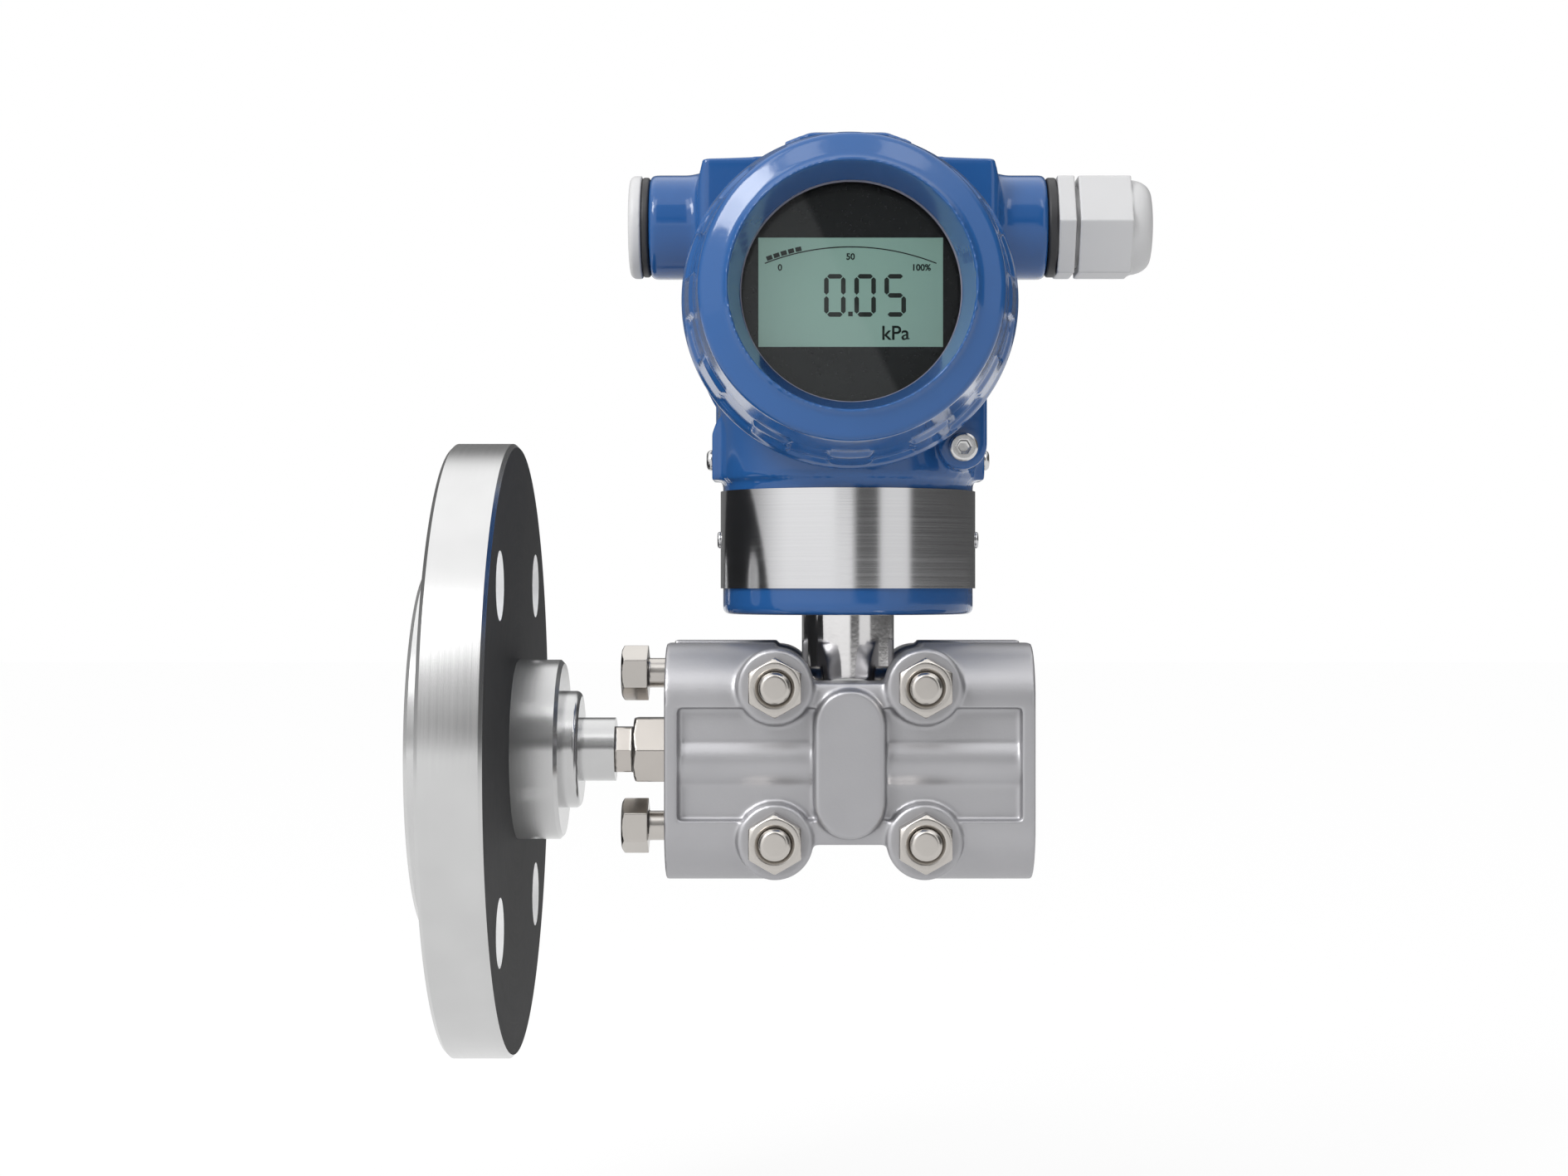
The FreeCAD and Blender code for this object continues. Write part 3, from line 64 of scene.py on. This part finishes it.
# the flange's bolt circle and bolt holes
BOLT_CIRCLE = 125.0 * MM
BOLT_HOLE = 18.0 * MM


# ---------------------------------------------------------------------------
# Shader values and materials

class Value:
    """A shader socket. Arithmetic on it adds Math nodes to its tree."""

    def __init__(self, tree, socket):
        self.tree = tree
        self.socket = socket

    def node(self, kind, inputs=(), output=0, **settings):
        """The output of a new node in the same tree."""
        return add_node(self.tree, kind, inputs, output, **settings)

    def math(self, operation, *others):
        return self.node("ShaderNodeMath", list(enumerate((self,) + others)), operation=operation)

    def __add__(self, other):
        return self.math("ADD", other)

    def __mul__(self, other):
        return self.math("MULTIPLY", other)

    def __sub__(self, other):
        return self.math("SUBTRACT", other)

    def __rsub__(self, other):
        return self.node("ShaderNodeMath", [(0, other), (1, self)], operation="SUBTRACT")

    def __truediv__(self, other):
        return self.math("DIVIDE", other)

    def __abs__(self):
        return self.math("ABSOLUTE")

    def __gt__(self, other):
        return self.math("GREATER_THAN", other)

    def __lt__(self, other):
        return self.math("LESS_THAN", other)

    def at_least(self, other):
        return self.math("MAXIMUM", other)

    def part(self, axis):
        """One component of a vector."""
        return self.node("ShaderNodeSeparateXYZ", [(0, self)], output="XYZ".index(axis))

    def scaled(self, x, y, z):
        """The vector with each component multiplied by its own number."""
        return self.node("ShaderNodeVectorMath", [(0, self), (1, (x, y, z))], operation="MULTIPLY")

    def moved(self, x, y, z):
        """The vector with a number added to each component."""
        return self.node("ShaderNodeVectorMath", [(0, self), (1, (x, y, z))], operation="ADD")

    def step(self, low, high):
        """0 below low, 1 above high, and smooth between them."""
        return self.node("ShaderNodeMapRange", [(0, self), (1, low), (2, high)],
                         interpolation_type="SMOOTHSTEP")

    def spread(self, low, high):
        """A value from 0 to 1 stretched to run from low to high."""
        return self * (high - low) + low

    def blend(self, first, second):
        """The colour first where this is 0 and second where it is 1."""
        return self.node("ShaderNodeMix", [(0, self), (6, colour(first)), (7, colour(second))], output=2,
                         data_type="RGBA")

    def noise(self, scale, detail=2.0, roughness=0.5):
        """Noise at this place, with scale waves to the metre."""
        return self.node("ShaderNodeTexNoise", [("Vector", self), ("Scale", scale), ("Detail", detail),
                                                ("Roughness", roughness)])


def colour(value):
    return value if isinstance(value, Value) or len(value) == 4 else (*value, 1.0)


def add_node(tree, kind, inputs=(), output=0, **settings):
    node = tree.nodes.new(kind)
    for name, setting in settings.items():
        setattr(node, name, setting)
    for key, value in inputs:
        if isinstance(value, Value):
            tree.links.new(value.socket, node.inputs[key])
        else:
            node.inputs[key].default_value = value
    return Value(tree, node.outputs[output])


class Finish:
    """A material with one Principled surface. Fixed values are set on its own sockets."""

    def __init__(self, name, base, roughness, **fixed):
        self.material = bpy.data.materials.new(name)
        self.material.use_nodes = True
        self.tree = self.material.node_tree
        self.surface = self.tree.nodes["Principled BSDF"]
        self.place = add_node(self.tree, "ShaderNodeTexCoord", output=3)
        self.set("Base Color", colour(base))
        self.set("Roughness", roughness)
        for socket, value in fixed.items():
            self.set(socket.replace("_", " ").title().replace("Ior", "IOR"), value)

    def set(self, socket, value):
        """Gives a socket of the surface a fixed value."""
        self.surface.inputs[socket].default_value = value

    def drive(self, socket, value):
        """Lets a varying value feed a socket of the surface."""
        self.tree.links.new(value.socket, self.surface.inputs[socket])

    def relief(self, height, depth):
        """Bumps of a given depth in metres, where height runs from 0 to 1."""
        bump = height.node("ShaderNodeBump", [("Height", height), ("Distance", depth), ("Strength", 1.0)])
        self.drive("Normal", bump)

    def distance(self, axis, centre=(0.0, 0.0, 0.0)):
        """The distance from an axis through centre."""
        flat = [0.0 if side == axis else 1.0 for side in "XYZ"]
        moved = self.place.moved(*[-value for value in centre]).scaled(*flat)
        return moved.node("ShaderNodeVectorMath", [(0, moved)], output=1, operation="LENGTH")


def turned_steel(name, smooth, rough, depth, metallic=1.0):
    """Bright stainless steel, with the fine rings that a lathe leaves about the flange's axis. Its
    roughness runs from smooth to rough. It keeps its grain and shade for finishes made from it."""
    rings_per_metre = 1400
    finish = Finish(name, (0.60, 0.60, 0.61), smooth, metallic=metallic, specular_ior_level=0.1)
    radius = finish.distance("X")
    across = finish.place.part("X")
    rings = (radius + across).node("ShaderNodeCombineXYZ", [(0, radius * rings_per_metre),
                                                              (1, across * rings_per_metre)])
    grain = rings.noise(1.0, 3.0)
    cloud = finish.place.noise(45.0, 3.0)
    finish.grain = (grain * 0.6 + cloud * 0.4).spread(smooth, rough)
    finish.shade = cloud.blend((0.52, 0.52, 0.52), (0.64, 0.64, 0.64))
    finish.drive("Roughness", finish.grain)
    finish.drive("Base Color", finish.shade)
    finish.relief(grain, depth)
    return finish


def flange_steel():
    """The loose flange: turned all over, with painted shade (a dark, rough grey) on its rear face and painted
    light (near white) on the walls of its bolt holes.
    """
    finish = turned_steel("flange_steel", 0.16, 0.30, 0.000006)
    margin = 0.2 * MM
    rear = finish.place.part("X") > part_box("seal_flange")[1].x - margin / 4
    hole = BOLT_CIRCLE / 2 * math.sin(math.radians(45))
    across, up = abs(finish.place.part("Y")) - hole, abs(finish.place.part("Z")) - hole
    # painted light: the walls of the bolt holes are near white and less metallic, as if lit through the holes
    painted_hole_light = ((across * across + up * up) < (BOLT_HOLE / 2 + margin) ** 2) * (1 - rear)
    # painted shade: the rear face is coloured a dark, rough, non-metallic grey, though it is the same turned
    # steel
    painted_rear_shade = finish.place.noise(300.0, 2.0).blend((0.044, 0.044, 0.045), (0.054, 0.054, 0.055))
    finish.drive("Base Color", rear.blend(painted_hole_light.blend(finish.shade, (0.95, 0.95, 0.95)), painted_rear_shade))
    finish.drive("Metallic", (1 - rear) * (1 - painted_hole_light * 0.7))
    finish.drive("Roughness", finish.grain + rear * 0.45 + painted_hole_light * 0.3)
    return finish


def plain_steel(name, base, roughness, variation=0.06, grain_scale=900.0, depth=0.000006):
    """Stainless steel with a fine even grain."""
    finish = Finish(name, base, roughness, metallic=1.0)
    grain = finish.place.noise(grain_scale, 3.0)
    cloud = finish.place.noise(70.0, 2.0)
    mottle = grain * 0.5 + cloud * 0.5
    finish.drive("Roughness", mottle.spread(roughness - variation, roughness + variation))
    dark, light = [value * 0.9 for value in base], [min(1.0, value * 1.08) for value in base]
    finish.drive("Base Color", cloud.blend(dark, light))
    finish.relief(grain, depth)
    return finish


def cast_steel():
    """Bead-blasted casting: matte, with fine pits."""
    finish = Finish("cast_steel", (0.38, 0.378, 0.392), 0.40, metallic=0.75)
    pits = finish.place.noise(1500.0, 2.0)
    cloud = finish.place.noise(60.0, 3.0)
    finish.drive("Roughness", pits.spread(0.34, 0.46))
    finish.drive("Base Color", cloud.blend((0.35, 0.348, 0.362), (0.41, 0.408, 0.423)))
    finish.relief(pits * 0.7 + cloud * 0.3, 0.00003)
    return finish


def band_steel():
    """Satin strip, brushed round the band."""
    finish = Finish("band_steel", (0.56, 0.56, 0.57), 0.15, metallic=1.0)
    lines = finish.place.scaled(12.0, 12.0, 2600.0).noise(1.0, 2.0)
    finish.drive("Roughness", lines.spread(0.10, 0.19))
    finish.drive("Base Color", lines.blend((0.52, 0.52, 0.53), (0.60, 0.60, 0.61)))
    finish.relief(lines, 0.000004)
    return finish


def blue_paint():
    """Glossy blue enamel over a die casting, with a trace of orange peel."""
    finish = Finish("blue_paint", (0.015, 0.078, 0.24), 0.13, coat_weight=0.2, coat_roughness=0.04,
                    specular_ior_level=0.4)
    peel = finish.place.noise(420.0, 1.0)
    swell = finish.place.noise(55.0, 2.0)
    finish.drive("Base Color", swell.blend((0.013, 0.072, 0.225), (0.017, 0.084, 0.255)))
    finish.drive("Roughness", peel.spread(0.10, 0.16))
    finish.relief(peel * 0.25 + swell * 0.75, 0.00008)
    return finish


def plastic(name, base, roughness, grain_scale=1200.0, depth=0.00001):
    """Moulded plastic or rubber with a fine grain."""
    finish = Finish(name, base, roughness)
    grain = finish.place.noise(grain_scale, 2.0)
    cloud = finish.place.noise(50.0, 2.0)
    dark = [value * 0.92 for value in base]
    finish.drive("Base Color", cloud.blend(dark, base))
    finish.drive("Roughness", grain.spread(roughness - 0.05, roughness + 0.06))
    finish.relief(grain, depth)
    return finish


def window_glass():
    """Clear flat glass: see-through, with a reflection that grows towards grazing angles."""
    material = bpy.data.materials.new("window_glass")
    material.use_nodes = True
    tree = material.node_tree
    tree.nodes.clear()
    through = add_node(tree, "ShaderNodeBsdfTransparent", [("Color", (0.96, 0.98, 0.98, 1.0))])
    shine = add_node(tree, "ShaderNodeBsdfGlossy", [("Roughness", 0.0)])
    fresnel = add_node(tree, "ShaderNodeFresnel", [("IOR", 1.5)])
    mixed = fresnel.node("ShaderNodeMixShader", [(0, fresnel), (1, through), (2, shine)])
    output = tree.nodes.new("ShaderNodeOutputMaterial")
    tree.links.new(mixed.socket, output.inputs["Surface"])
    return material


def screen():
    """Grey-green liquid crystal with a painted glow that lifts it out of the shade of its recess, a little
    lighter towards the lower left.
    """
    # painted light: the screen glows (emission) to make up for the shade of its recess behind the glass
    finish = Finish("screen", (0.30, 0.46, 0.40), 0.35, emission_strength=0.31)
    low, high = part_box("lcd_panel")
    across = (finish.place.part("X") - low.x) / (high.x - low.x)
    up = (finish.place.part("Z") - low.z) / (high.z - low.z)
    haze = finish.place.noise(90.0, 2.0)
    # the tone, lighter towards the lower left, also colours the painted glow
    tone_and_glow = (across * 0.5 + up * 0.35 + haze * 0.15).blend((0.34, 0.49, 0.44), (0.27, 0.43, 0.37))
    finish.drive("Base Color", tone_and_glow)
    finish.drive("Emission Color", tone_and_glow)
    return finish


def lcd_ink():
    """The near-black green of the segments that are lit."""
    finish = Finish("lcd_ink", (0.004, 0.012, 0.008), 0.4)
    finish.drive("Roughness", finish.place.noise(900.0, 2.0).spread(0.35, 0.45))
    return finish


MATERIALS = {
    "turned_steel": turned_steel("turned_steel", 0.17, 0.25, 0.000003, 0.85).material,
    "diaphragm_steel": plain_steel("diaphragm_steel", (0.66, 0.66, 0.67), 0.22).material,
    "fitting_steel": plain_steel("fitting_steel", (0.50, 0.47, 0.44), 0.17, 0.04, depth=0.000001).material,
    "bolt_steel": plain_steel("bolt_steel", (0.53, 0.505, 0.475), 0.25, 0.04, depth=0.000001).material,
    "cast_steel": cast_steel().material,
    "capsule_steel": plain_steel("capsule_steel", (0.48, 0.48, 0.50), 0.35).material,
    "polished_steel": plain_steel("polished_steel", (0.62, 0.61, 0.61), 0.09, 0.03).material,
    "band_steel": band_steel().material,
    "screw_steel": plain_steel("screw_steel", (0.62, 0.62, 0.62), 0.24).material,
    "gasket_white": plastic("gasket_white", (0.75, 0.75, 0.73), 0.45).material,
    "blue_paint": blue_paint().material,
    "seal_rubber": plastic("seal_rubber", (0.02, 0.02, 0.022), 0.5).material,
    "gland_nylon": plastic("gland_nylon", (0.50, 0.50, 0.505), 0.45).material,
    "window_glass": window_glass(),
    "display_black": plastic("display_black", (0.008, 0.008, 0.010), 0.25).material,
    "screen": screen().material,
    "module_plastic": plastic("module_plastic", (0.03, 0.03, 0.035), 0.5).material,
    "terminal_plastic": plastic("terminal_plastic", (0.05, 0.05, 0.052), 0.45).material,
    "terminal_metal": plain_steel("terminal_metal", (0.60, 0.53, 0.36), 0.3).material,
}


def paint(piece, slot):
    """Gives a piece the material of one slot of the record."""
    piece.data.materials.clear()
    piece.data.materials.append(MATERIALS[slot])


for subpart in frame["record"]["subparts"]:
    paint(frame["nodes"][subpart["node"]], subpart["material_slot"])
frame["nodes"]["seal_flange"].data.materials[0] = flange_steel().material
frame["nodes"]["window_gasket"].data.materials[0] = plastic("window_seal", (0.22, 0.22, 0.27), 0.5).material

SLOT_OF = {subpart["node"]: subpart["material_slot"] for subpart in frame["record"]["subparts"]}
BODY_OF = {node: body for body, nodes in frame["record"]["behaviour"]["bodies"].items() for node in nodes}


# ---------------------------------------------------------------------------
# Working on meshes

def choose(piece):
    """Selects one piece alone and makes it the active one."""
    bpy.ops.object.select_all(action="DESELECT")
    piece.select_set(True)
    bpy.context.view_layer.objects.active = piece


def edit(piece):
    """Opens a piece in edit mode with all of it selected."""
    choose(piece)
    bpy.ops.object.mode_set(mode="EDIT")
    bpy.ops.mesh.select_all(action="SELECT")


def done():
    """Goes back to object mode."""
    bpy.ops.object.mode_set(mode="OBJECT")


def apply(piece, kind, **settings):
    """Puts a modifier on a piece and applies it."""
    choose(piece)
    modifier = piece.modifiers.new(kind.lower(), kind)
    for name, value in settings.items():
        setattr(modifier, name, value)
    bpy.ops.object.modifier_apply(modifier=modifier.name)


def settle(piece):
    """Moves a piece's place, turn and size into its mesh."""
    choose(piece)
    bpy.ops.object.transform_apply(location=True, rotation=True, scale=True)


def join(pieces, name):
    """Makes one piece of several."""
    choose(pieces[0])
    for piece in pieces[1:]:
        piece.select_set(True)
    bpy.ops.object.join()
    pieces[0].name = pieces[0].data.name = name
    return pieces[0]


def copy_of(node):
    """A separate, closed mesh with the shape of a CAD node."""
    mesh = frame["nodes"][node].data.copy()
    piece = bpy.data.objects.new(f"{node}_finished", mesh)
    bpy.context.collection.objects.link(piece)
    mesh.materials.clear()
    edit(piece)
    bpy.ops.mesh.customdata_custom_splitnormals_clear()
    bpy.ops.mesh.remove_doubles(threshold=0.000002)
    done()
    return piece


def attach(piece, body, slot, material=None):
    """Paints a piece and lets it ride on a body."""
    paint(piece, slot)
    if material:
        piece.data.materials[0] = material
    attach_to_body(piece, body)
    return piece


def stand_for(piece, node):
    """Lets a finished piece take the place of a CAD node."""
    attach(piece, BODY_OF[node], SLOT_OF[node])
    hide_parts(node)
    return piece


def soften(node, grid, rounds, most):
    """The node with the soft edges of a casting or moulding: a fine even skin over it, smoothed."""
    piece = copy_of(node)
    apply(piece, "REMESH", mode="VOXEL", voxel_size=grid, use_smooth_shade=True)
    apply(piece, "SMOOTH", factor=0.5, iterations=rounds)
    count = sum(len(face.vertices) - 2 for face in piece.data.polygons)
    if count > most:
        apply(piece, "DECIMATE", ratio=most / count)
    choose(piece)
    bpy.ops.object.shade_smooth()
    return piece


def drawn(name, outlines, place, thickness):
    """Flat print on a face that looks along -Y: closed outlines of (across, up), filled and thickened."""
    parts = []
    for points in outlines:
        corners = [Vector((place.x + u, place.y, place.z + v)) for u, v in points]
        bpy.ops.object.select_all(action="DESELECT")
        bpy.ops.mesh.primitive_plane_add(size=MM, location=corners[0])
        part = bpy.context.object
        bpy.ops.object.mode_set(mode="EDIT")
        bpy.ops.mesh.select_all(action="SELECT")
        bpy.ops.mesh.merge(type="CENTER")
        for start, end in zip(corners, corners[1:]):
            bpy.ops.mesh.extrude_region_move(TRANSFORM_OT_translate={"value": end - start})
        bpy.ops.mesh.select_all(action="SELECT")
        bpy.ops.mesh.edge_face_add()
        done()
        settle(part)
        parts.append(part)
    piece = join(parts, name)
    thicken(piece, thickness)
    return piece


def thicken(piece, thickness):
    """Gives flat print its thickness, towards -Y."""
    edit(piece)
    bpy.ops.mesh.extrude_region_move(TRANSFORM_OT_translate={"value": (0, -thickness, 0)})
    bpy.ops.mesh.select_all(action="SELECT")
    bpy.ops.mesh.normals_make_consistent(inside=False)
    done()


# ---------------------------------------------------------------------------
# Castings, covers and fittings

# each with the grid of its skin in millimetres, the rounds of smoothing and the most triangles
for node, grid, rounds, most in [
        ("housing", 0.70, 7, 190000), ("front_cover", 0.50, 6, 150000), ("rear_cover", 0.60, 6, 80000),
        ("front_process_flange", 0.50, 7, 110000), ("rear_process_flange", 0.55, 7, 70000),
        ("clamp_nuts", 0.25, 3, 40000), ("clamp_bolts", 0.30, 2, 50000), ("connection_bolts", 0.25, 3, 30000),
        ("hex_nipple", 0.30, 2, 20000), ("gland_body", 0.30, 3, 20000), ("gland_nut", 0.30, 5, 30000),
        ("blanking_plug", 0.35, 4, 20000), ("cover_lock_screws", 0.20, 2, 20000),
        ("ear_screws", 0.15, 3, 15000)]:
    stand_for(soften(node, grid * MM, rounds, most), node)


# ---------------------------------------------------------------------------
# What the screen shows

SCREEN_LOW, SCREEN_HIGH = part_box("lcd_panel")
PRINT_THICKNESS = 0.04 * MM
DIGIT_STROKE = 1.12 * MM
DIGIT_WIDTH = 4.1 * MM
SEGMENT_GAP = 0.16 * MM
SCALE_LINE = 0.30 * MM
CAPITAL_HEIGHT = 0.7


def on_screen(u, v):
    """A place on the screen, as millimetres right of and above its middle, from fractions of its size."""
    return ((u - 0.5) * (SCREEN_HIGH.x - SCREEN_LOW.x), (0.5 - v) * (SCREEN_HIGH.z - SCREEN_LOW.z))


def bar(start, end, width):
    """One segment of a digit, with pointed ends."""
    along = (Vector(end) - Vector(start)).normalized()
    across = Vector((-along.y, along.x)) * width / 2
    start, end, tip = Vector(start), Vector(end), along * width / 2
    return [start, start + tip + across, end - tip + across, end, end - tip - across, start + tip - across]


def digit(number, left, top, width, height, stroke):
    """The segments of one digit as outlines."""
    right, low, middle = left + width, top - height, top - height / 2
    gap = SEGMENT_GAP
    places = {
        "a": ((left + gap, top), (right - gap, top)), "b": ((right, top - gap), (right, middle + gap)),
        "c": ((right, middle - gap), (right, low + gap)), "d": ((left + gap, low), (right - gap, low)),
        "e": ((left, middle - gap), (left, low + gap)), "f": ((left, top - gap), (left, middle + gap)),
        "g": ((left + gap, middle), (right - gap, middle)),
    }
    lit = {"0": "abcdef", "5": "acdfg"}[number]
    return [bar(*places[name], stroke) for name in lit]


def box_outline(centre, width, height, turn=0.0):
    """The corners of a rectangle about its centre."""
    cosine, sine = math.cos(turn), math.sin(turn)
    return [(centre[0] + x * cosine - y * sine, centre[1] + x * sine + y * cosine)
            for x, y in ((-width / 2, -height / 2), (width / 2, -height / 2), (width / 2, height / 2),
                         (-width / 2, height / 2))]


def lettering(text, left, low, height):
    """Plain characters whose lower left corner is at left, low on the screen."""
    middle = (SCREEN_LOW + SCREEN_HIGH) / 2
    bpy.ops.object.select_all(action="DESELECT")
    bpy.ops.object.text_add(location=(middle.x + left, SCREEN_LOW.y, middle.z + low),
                            rotation=(math.pi / 2, 0, 0))
    piece = bpy.context.object
    piece.data.body = text
    piece.data.size = height / CAPITAL_HEIGHT
    piece.data.offset = 0.06 * MM
    bpy.ops.object.convert(target="MESH")
    settle(piece)
    thicken(piece, PRINT_THICKNESS)
    return piece


def reading():
    """The shapes of the reading: three digits and their point."""
    shapes = []
    for number, u in (("0", 0.356), ("0", 0.520), ("5", 0.683)):
        left, top = on_screen(u, 0.333)
        height = top - on_screen(u, 0.725)[1]
        shapes += digit(number, left + DIGIT_STROKE / 2, top - DIGIT_STROKE / 2, DIGIT_WIDTH,
                        height - DIGIT_STROKE, DIGIT_STROKE)
    return shapes + [box_outline(on_screen(0.499, 0.699), DIGIT_STROKE, DIGIT_STROKE)]


def scale():
    """The shapes of the scale: a shallow arc through its two ends and its top, and five marks lit at
    its left end."""
    left, top, right = on_screen(0.035, 0.235), on_screen(0.5, 0.084), on_screen(0.965, 0.235)
    rise, half = top[1] - left[1], (right[0] - left[0]) / 2
    radius = (half ** 2 + rise ** 2) / (2 * rise)
    sweep = math.asin(half / radius)
    steps = [sweep * (step / 20 - 1) for step in range(41)]

    def at(reach, angle):
        return reach * math.sin(angle), top[1] - radius + reach * math.cos(angle)

    shapes = [[at(radius + SCALE_LINE / 2, angle) for angle in steps]
              + [at(radius - SCALE_LINE / 2, angle) for angle in reversed(steps)]]
    for mark in range(5):
        angle = -sweep * (0.93 - 0.085 * mark)
        shapes.append(box_outline(at(radius + 0.85 * MM, angle), 1.45 * MM, 1.1 * MM, -angle))
    return shapes


def screen_print():
    """Digits, their unit and the curved scale of the display."""
    face = (SCREEN_LOW + SCREEN_HIGH) / 2
    face.y = SCREEN_LOW.y
    printed = [drawn("screen_print", reading() + scale(), face, PRINT_THICKNESS)]
    for text, u, v, height in (("kPa", 0.666, 0.935, 3.4), ("0", 0.105, 0.30, 1.5), ("50", 0.475, 0.20, 1.5),
                               ("100%", 0.83, 0.30, 1.5)):
        printed.append(lettering(text, *on_screen(u, v), height * MM))
    return join(printed, "screen_print")


attach(screen_print(), BODY_OF["lcd_panel"], "display_black", lcd_ink().material)


# ---------------------------------------------------------------------------
# Stage: floor, surroundings and lamps

def floor():
    """A plain pale floor, well below the held transmitter."""
    height = cad_box[0].z - 60 * MM
    bpy.ops.mesh.primitive_plane_add(size=12.0, location=(0.1, 0.0, height))
    plane = bpy.context.object
    plane.name = "floor"
    material = bpy.data.materials.new("floor")
    material.use_nodes = True
    tree = material.node_tree
    tree.nodes.clear()
    rays = tree.nodes.new("ShaderNodeLightPath")
    seen = Value(tree, rays.outputs["Is Camera Ray"]).at_least(
        Value(tree, rays.outputs["Is Glossy Ray"])).at_least(Value(tree, rays.outputs["Is Transmission Ray"]))
    paper = add_node(tree, "ShaderNodeBsdfDiffuse", [("Color", (0.80, 0.80, 0.80, 1.0))])
    white = add_node(tree, "ShaderNodeEmission", [("Color", (1.0, 1.0, 1.0, 1.0)), ("Strength", 1.0)])
    mixed = seen.node("ShaderNodeMixShader", [(0, seen * 0.85), (1, paper), (2, white)])
    output = tree.nodes.new("ShaderNodeOutputMaterial")
    tree.links.new(mixed.socket, output.inputs["Surface"])
    plane.data.materials.append(material)


def surroundings():
    """A white studio: a wide panel that fades in from the left round to the front, a narrow one at the
    front right, panes of a tall window above each, a light ceiling, and a dark camera bay in front."""
    world = bpy.data.worlds.new("studio")
    bpy.context.scene.world = world
    world.use_nodes = True
    tree = world.node_tree
    tree.nodes.clear()
    direction = add_node(tree, "ShaderNodeTexCoord")
    # degrees round from -Y towards +X, and degrees up
    to_degrees = 180 / math.pi
    azimuth = direction.part("X").math("ARCTAN2", direction.part("Y") * -1) * to_degrees
    rise = direction.part("Z")
    steep = rise.math("ARCSINE") * to_degrees

    def panel(start, end, soft):
        return azimuth.step(start, start + soft) - azimuth.step(end - soft, end)

    def storey(start, end, soft):
        return steep.step(start, start + soft) - steep.step(end - soft, end)

    sides = (azimuth.step(-118, -52) - azimuth.step(1, 9)) * 1.2 + panel(24, 60, 7) * 0.95
    panes = (panel(-50, -32, 2) + panel(-29, -12, 2) + panel(14, 34, 2) * 0.8) * storey(32, 58, 2) * 2.6
    height = rise.step(-0.75, -0.45) - rise.step(0.55, 0.8)
    ceiling = rise.step(0.5, 0.8) * 1.3
    level = sides * height + ceiling + 0.11 + panes + (1 - azimuth.step(-105, -60)) * 0.08
    # the bay: dim above, darkest behind the camera, with the slanting edge of a screen at its left
    bay = panel(-14, 11, 5) * storey(2.6, 46, 1.2)
    slant = 1 - (azimuth + steep * 0.488).step(3.78, 3.96)
    dim = steep.step(10, 20) * 0.30 + 0.05 + slant * 0.30 * (1 - steep.step(9, 10))
    level = level * (1 - bay) + bay * dim
    rays = tree.nodes.new("ShaderNodeLightPath")
    camera = Value(tree, rays.outputs["Is Camera Ray"]).at_least(
        Value(tree, rays.outputs["Is Transmission Ray"]))
    shade = add_node(tree, "ShaderNodeBackground", [("Color", (1.0, 1.0, 1.0, 1.0)), ("Strength", level)])
    white = add_node(tree, "ShaderNodeBackground", [("Color", (1.0, 1.0, 1.0, 1.0)), ("Strength", 1.0)])
    mixed = camera.node("ShaderNodeMixShader", [(0, camera), (1, shade), (2, white)])
    output = tree.nodes.new("ShaderNodeOutputWorld")
    tree.links.new(mixed.socket, output.inputs["Surface"])


def lamp(name, place, target, size, power):
    """A square soft box that faces a point."""
    data = bpy.data.lights.new(name, "AREA")
    data.shape = "SQUARE"
    data.size = size
    data.energy = power
    box = bpy.data.objects.new(name, data)
    bpy.context.scene.collection.objects.link(box)
    box.location = place
    box.rotation_euler = (Vector(target) - Vector(place)).to_track_quat("-Z", "Y").to_euler()


def camera():
    """Level with the middle of the transmitter, looking along +Y."""
    data = bpy.data.cameras.new("camera")
    data.sensor_width = 36.0
    data.lens = 61.9
    data.shift_x = -0.0175
    view = bpy.data.objects.new("camera", data)
    bpy.context.scene.collection.objects.link(view)
    view.location = (0.1033, -0.730, 0.0436)
    view.rotation_euler = (math.radians(90), 0.0, 0.0)
    bpy.context.scene.camera = view


floor()
surroundings()
middle = (cad_box[0] + cad_box[1]) / 2
lamp("key_lamp", (-0.7, -0.9, 0.9), middle, 0.5, 9.0)
camera()
bpy.context.scene.view_settings.view_transform = "Standard"
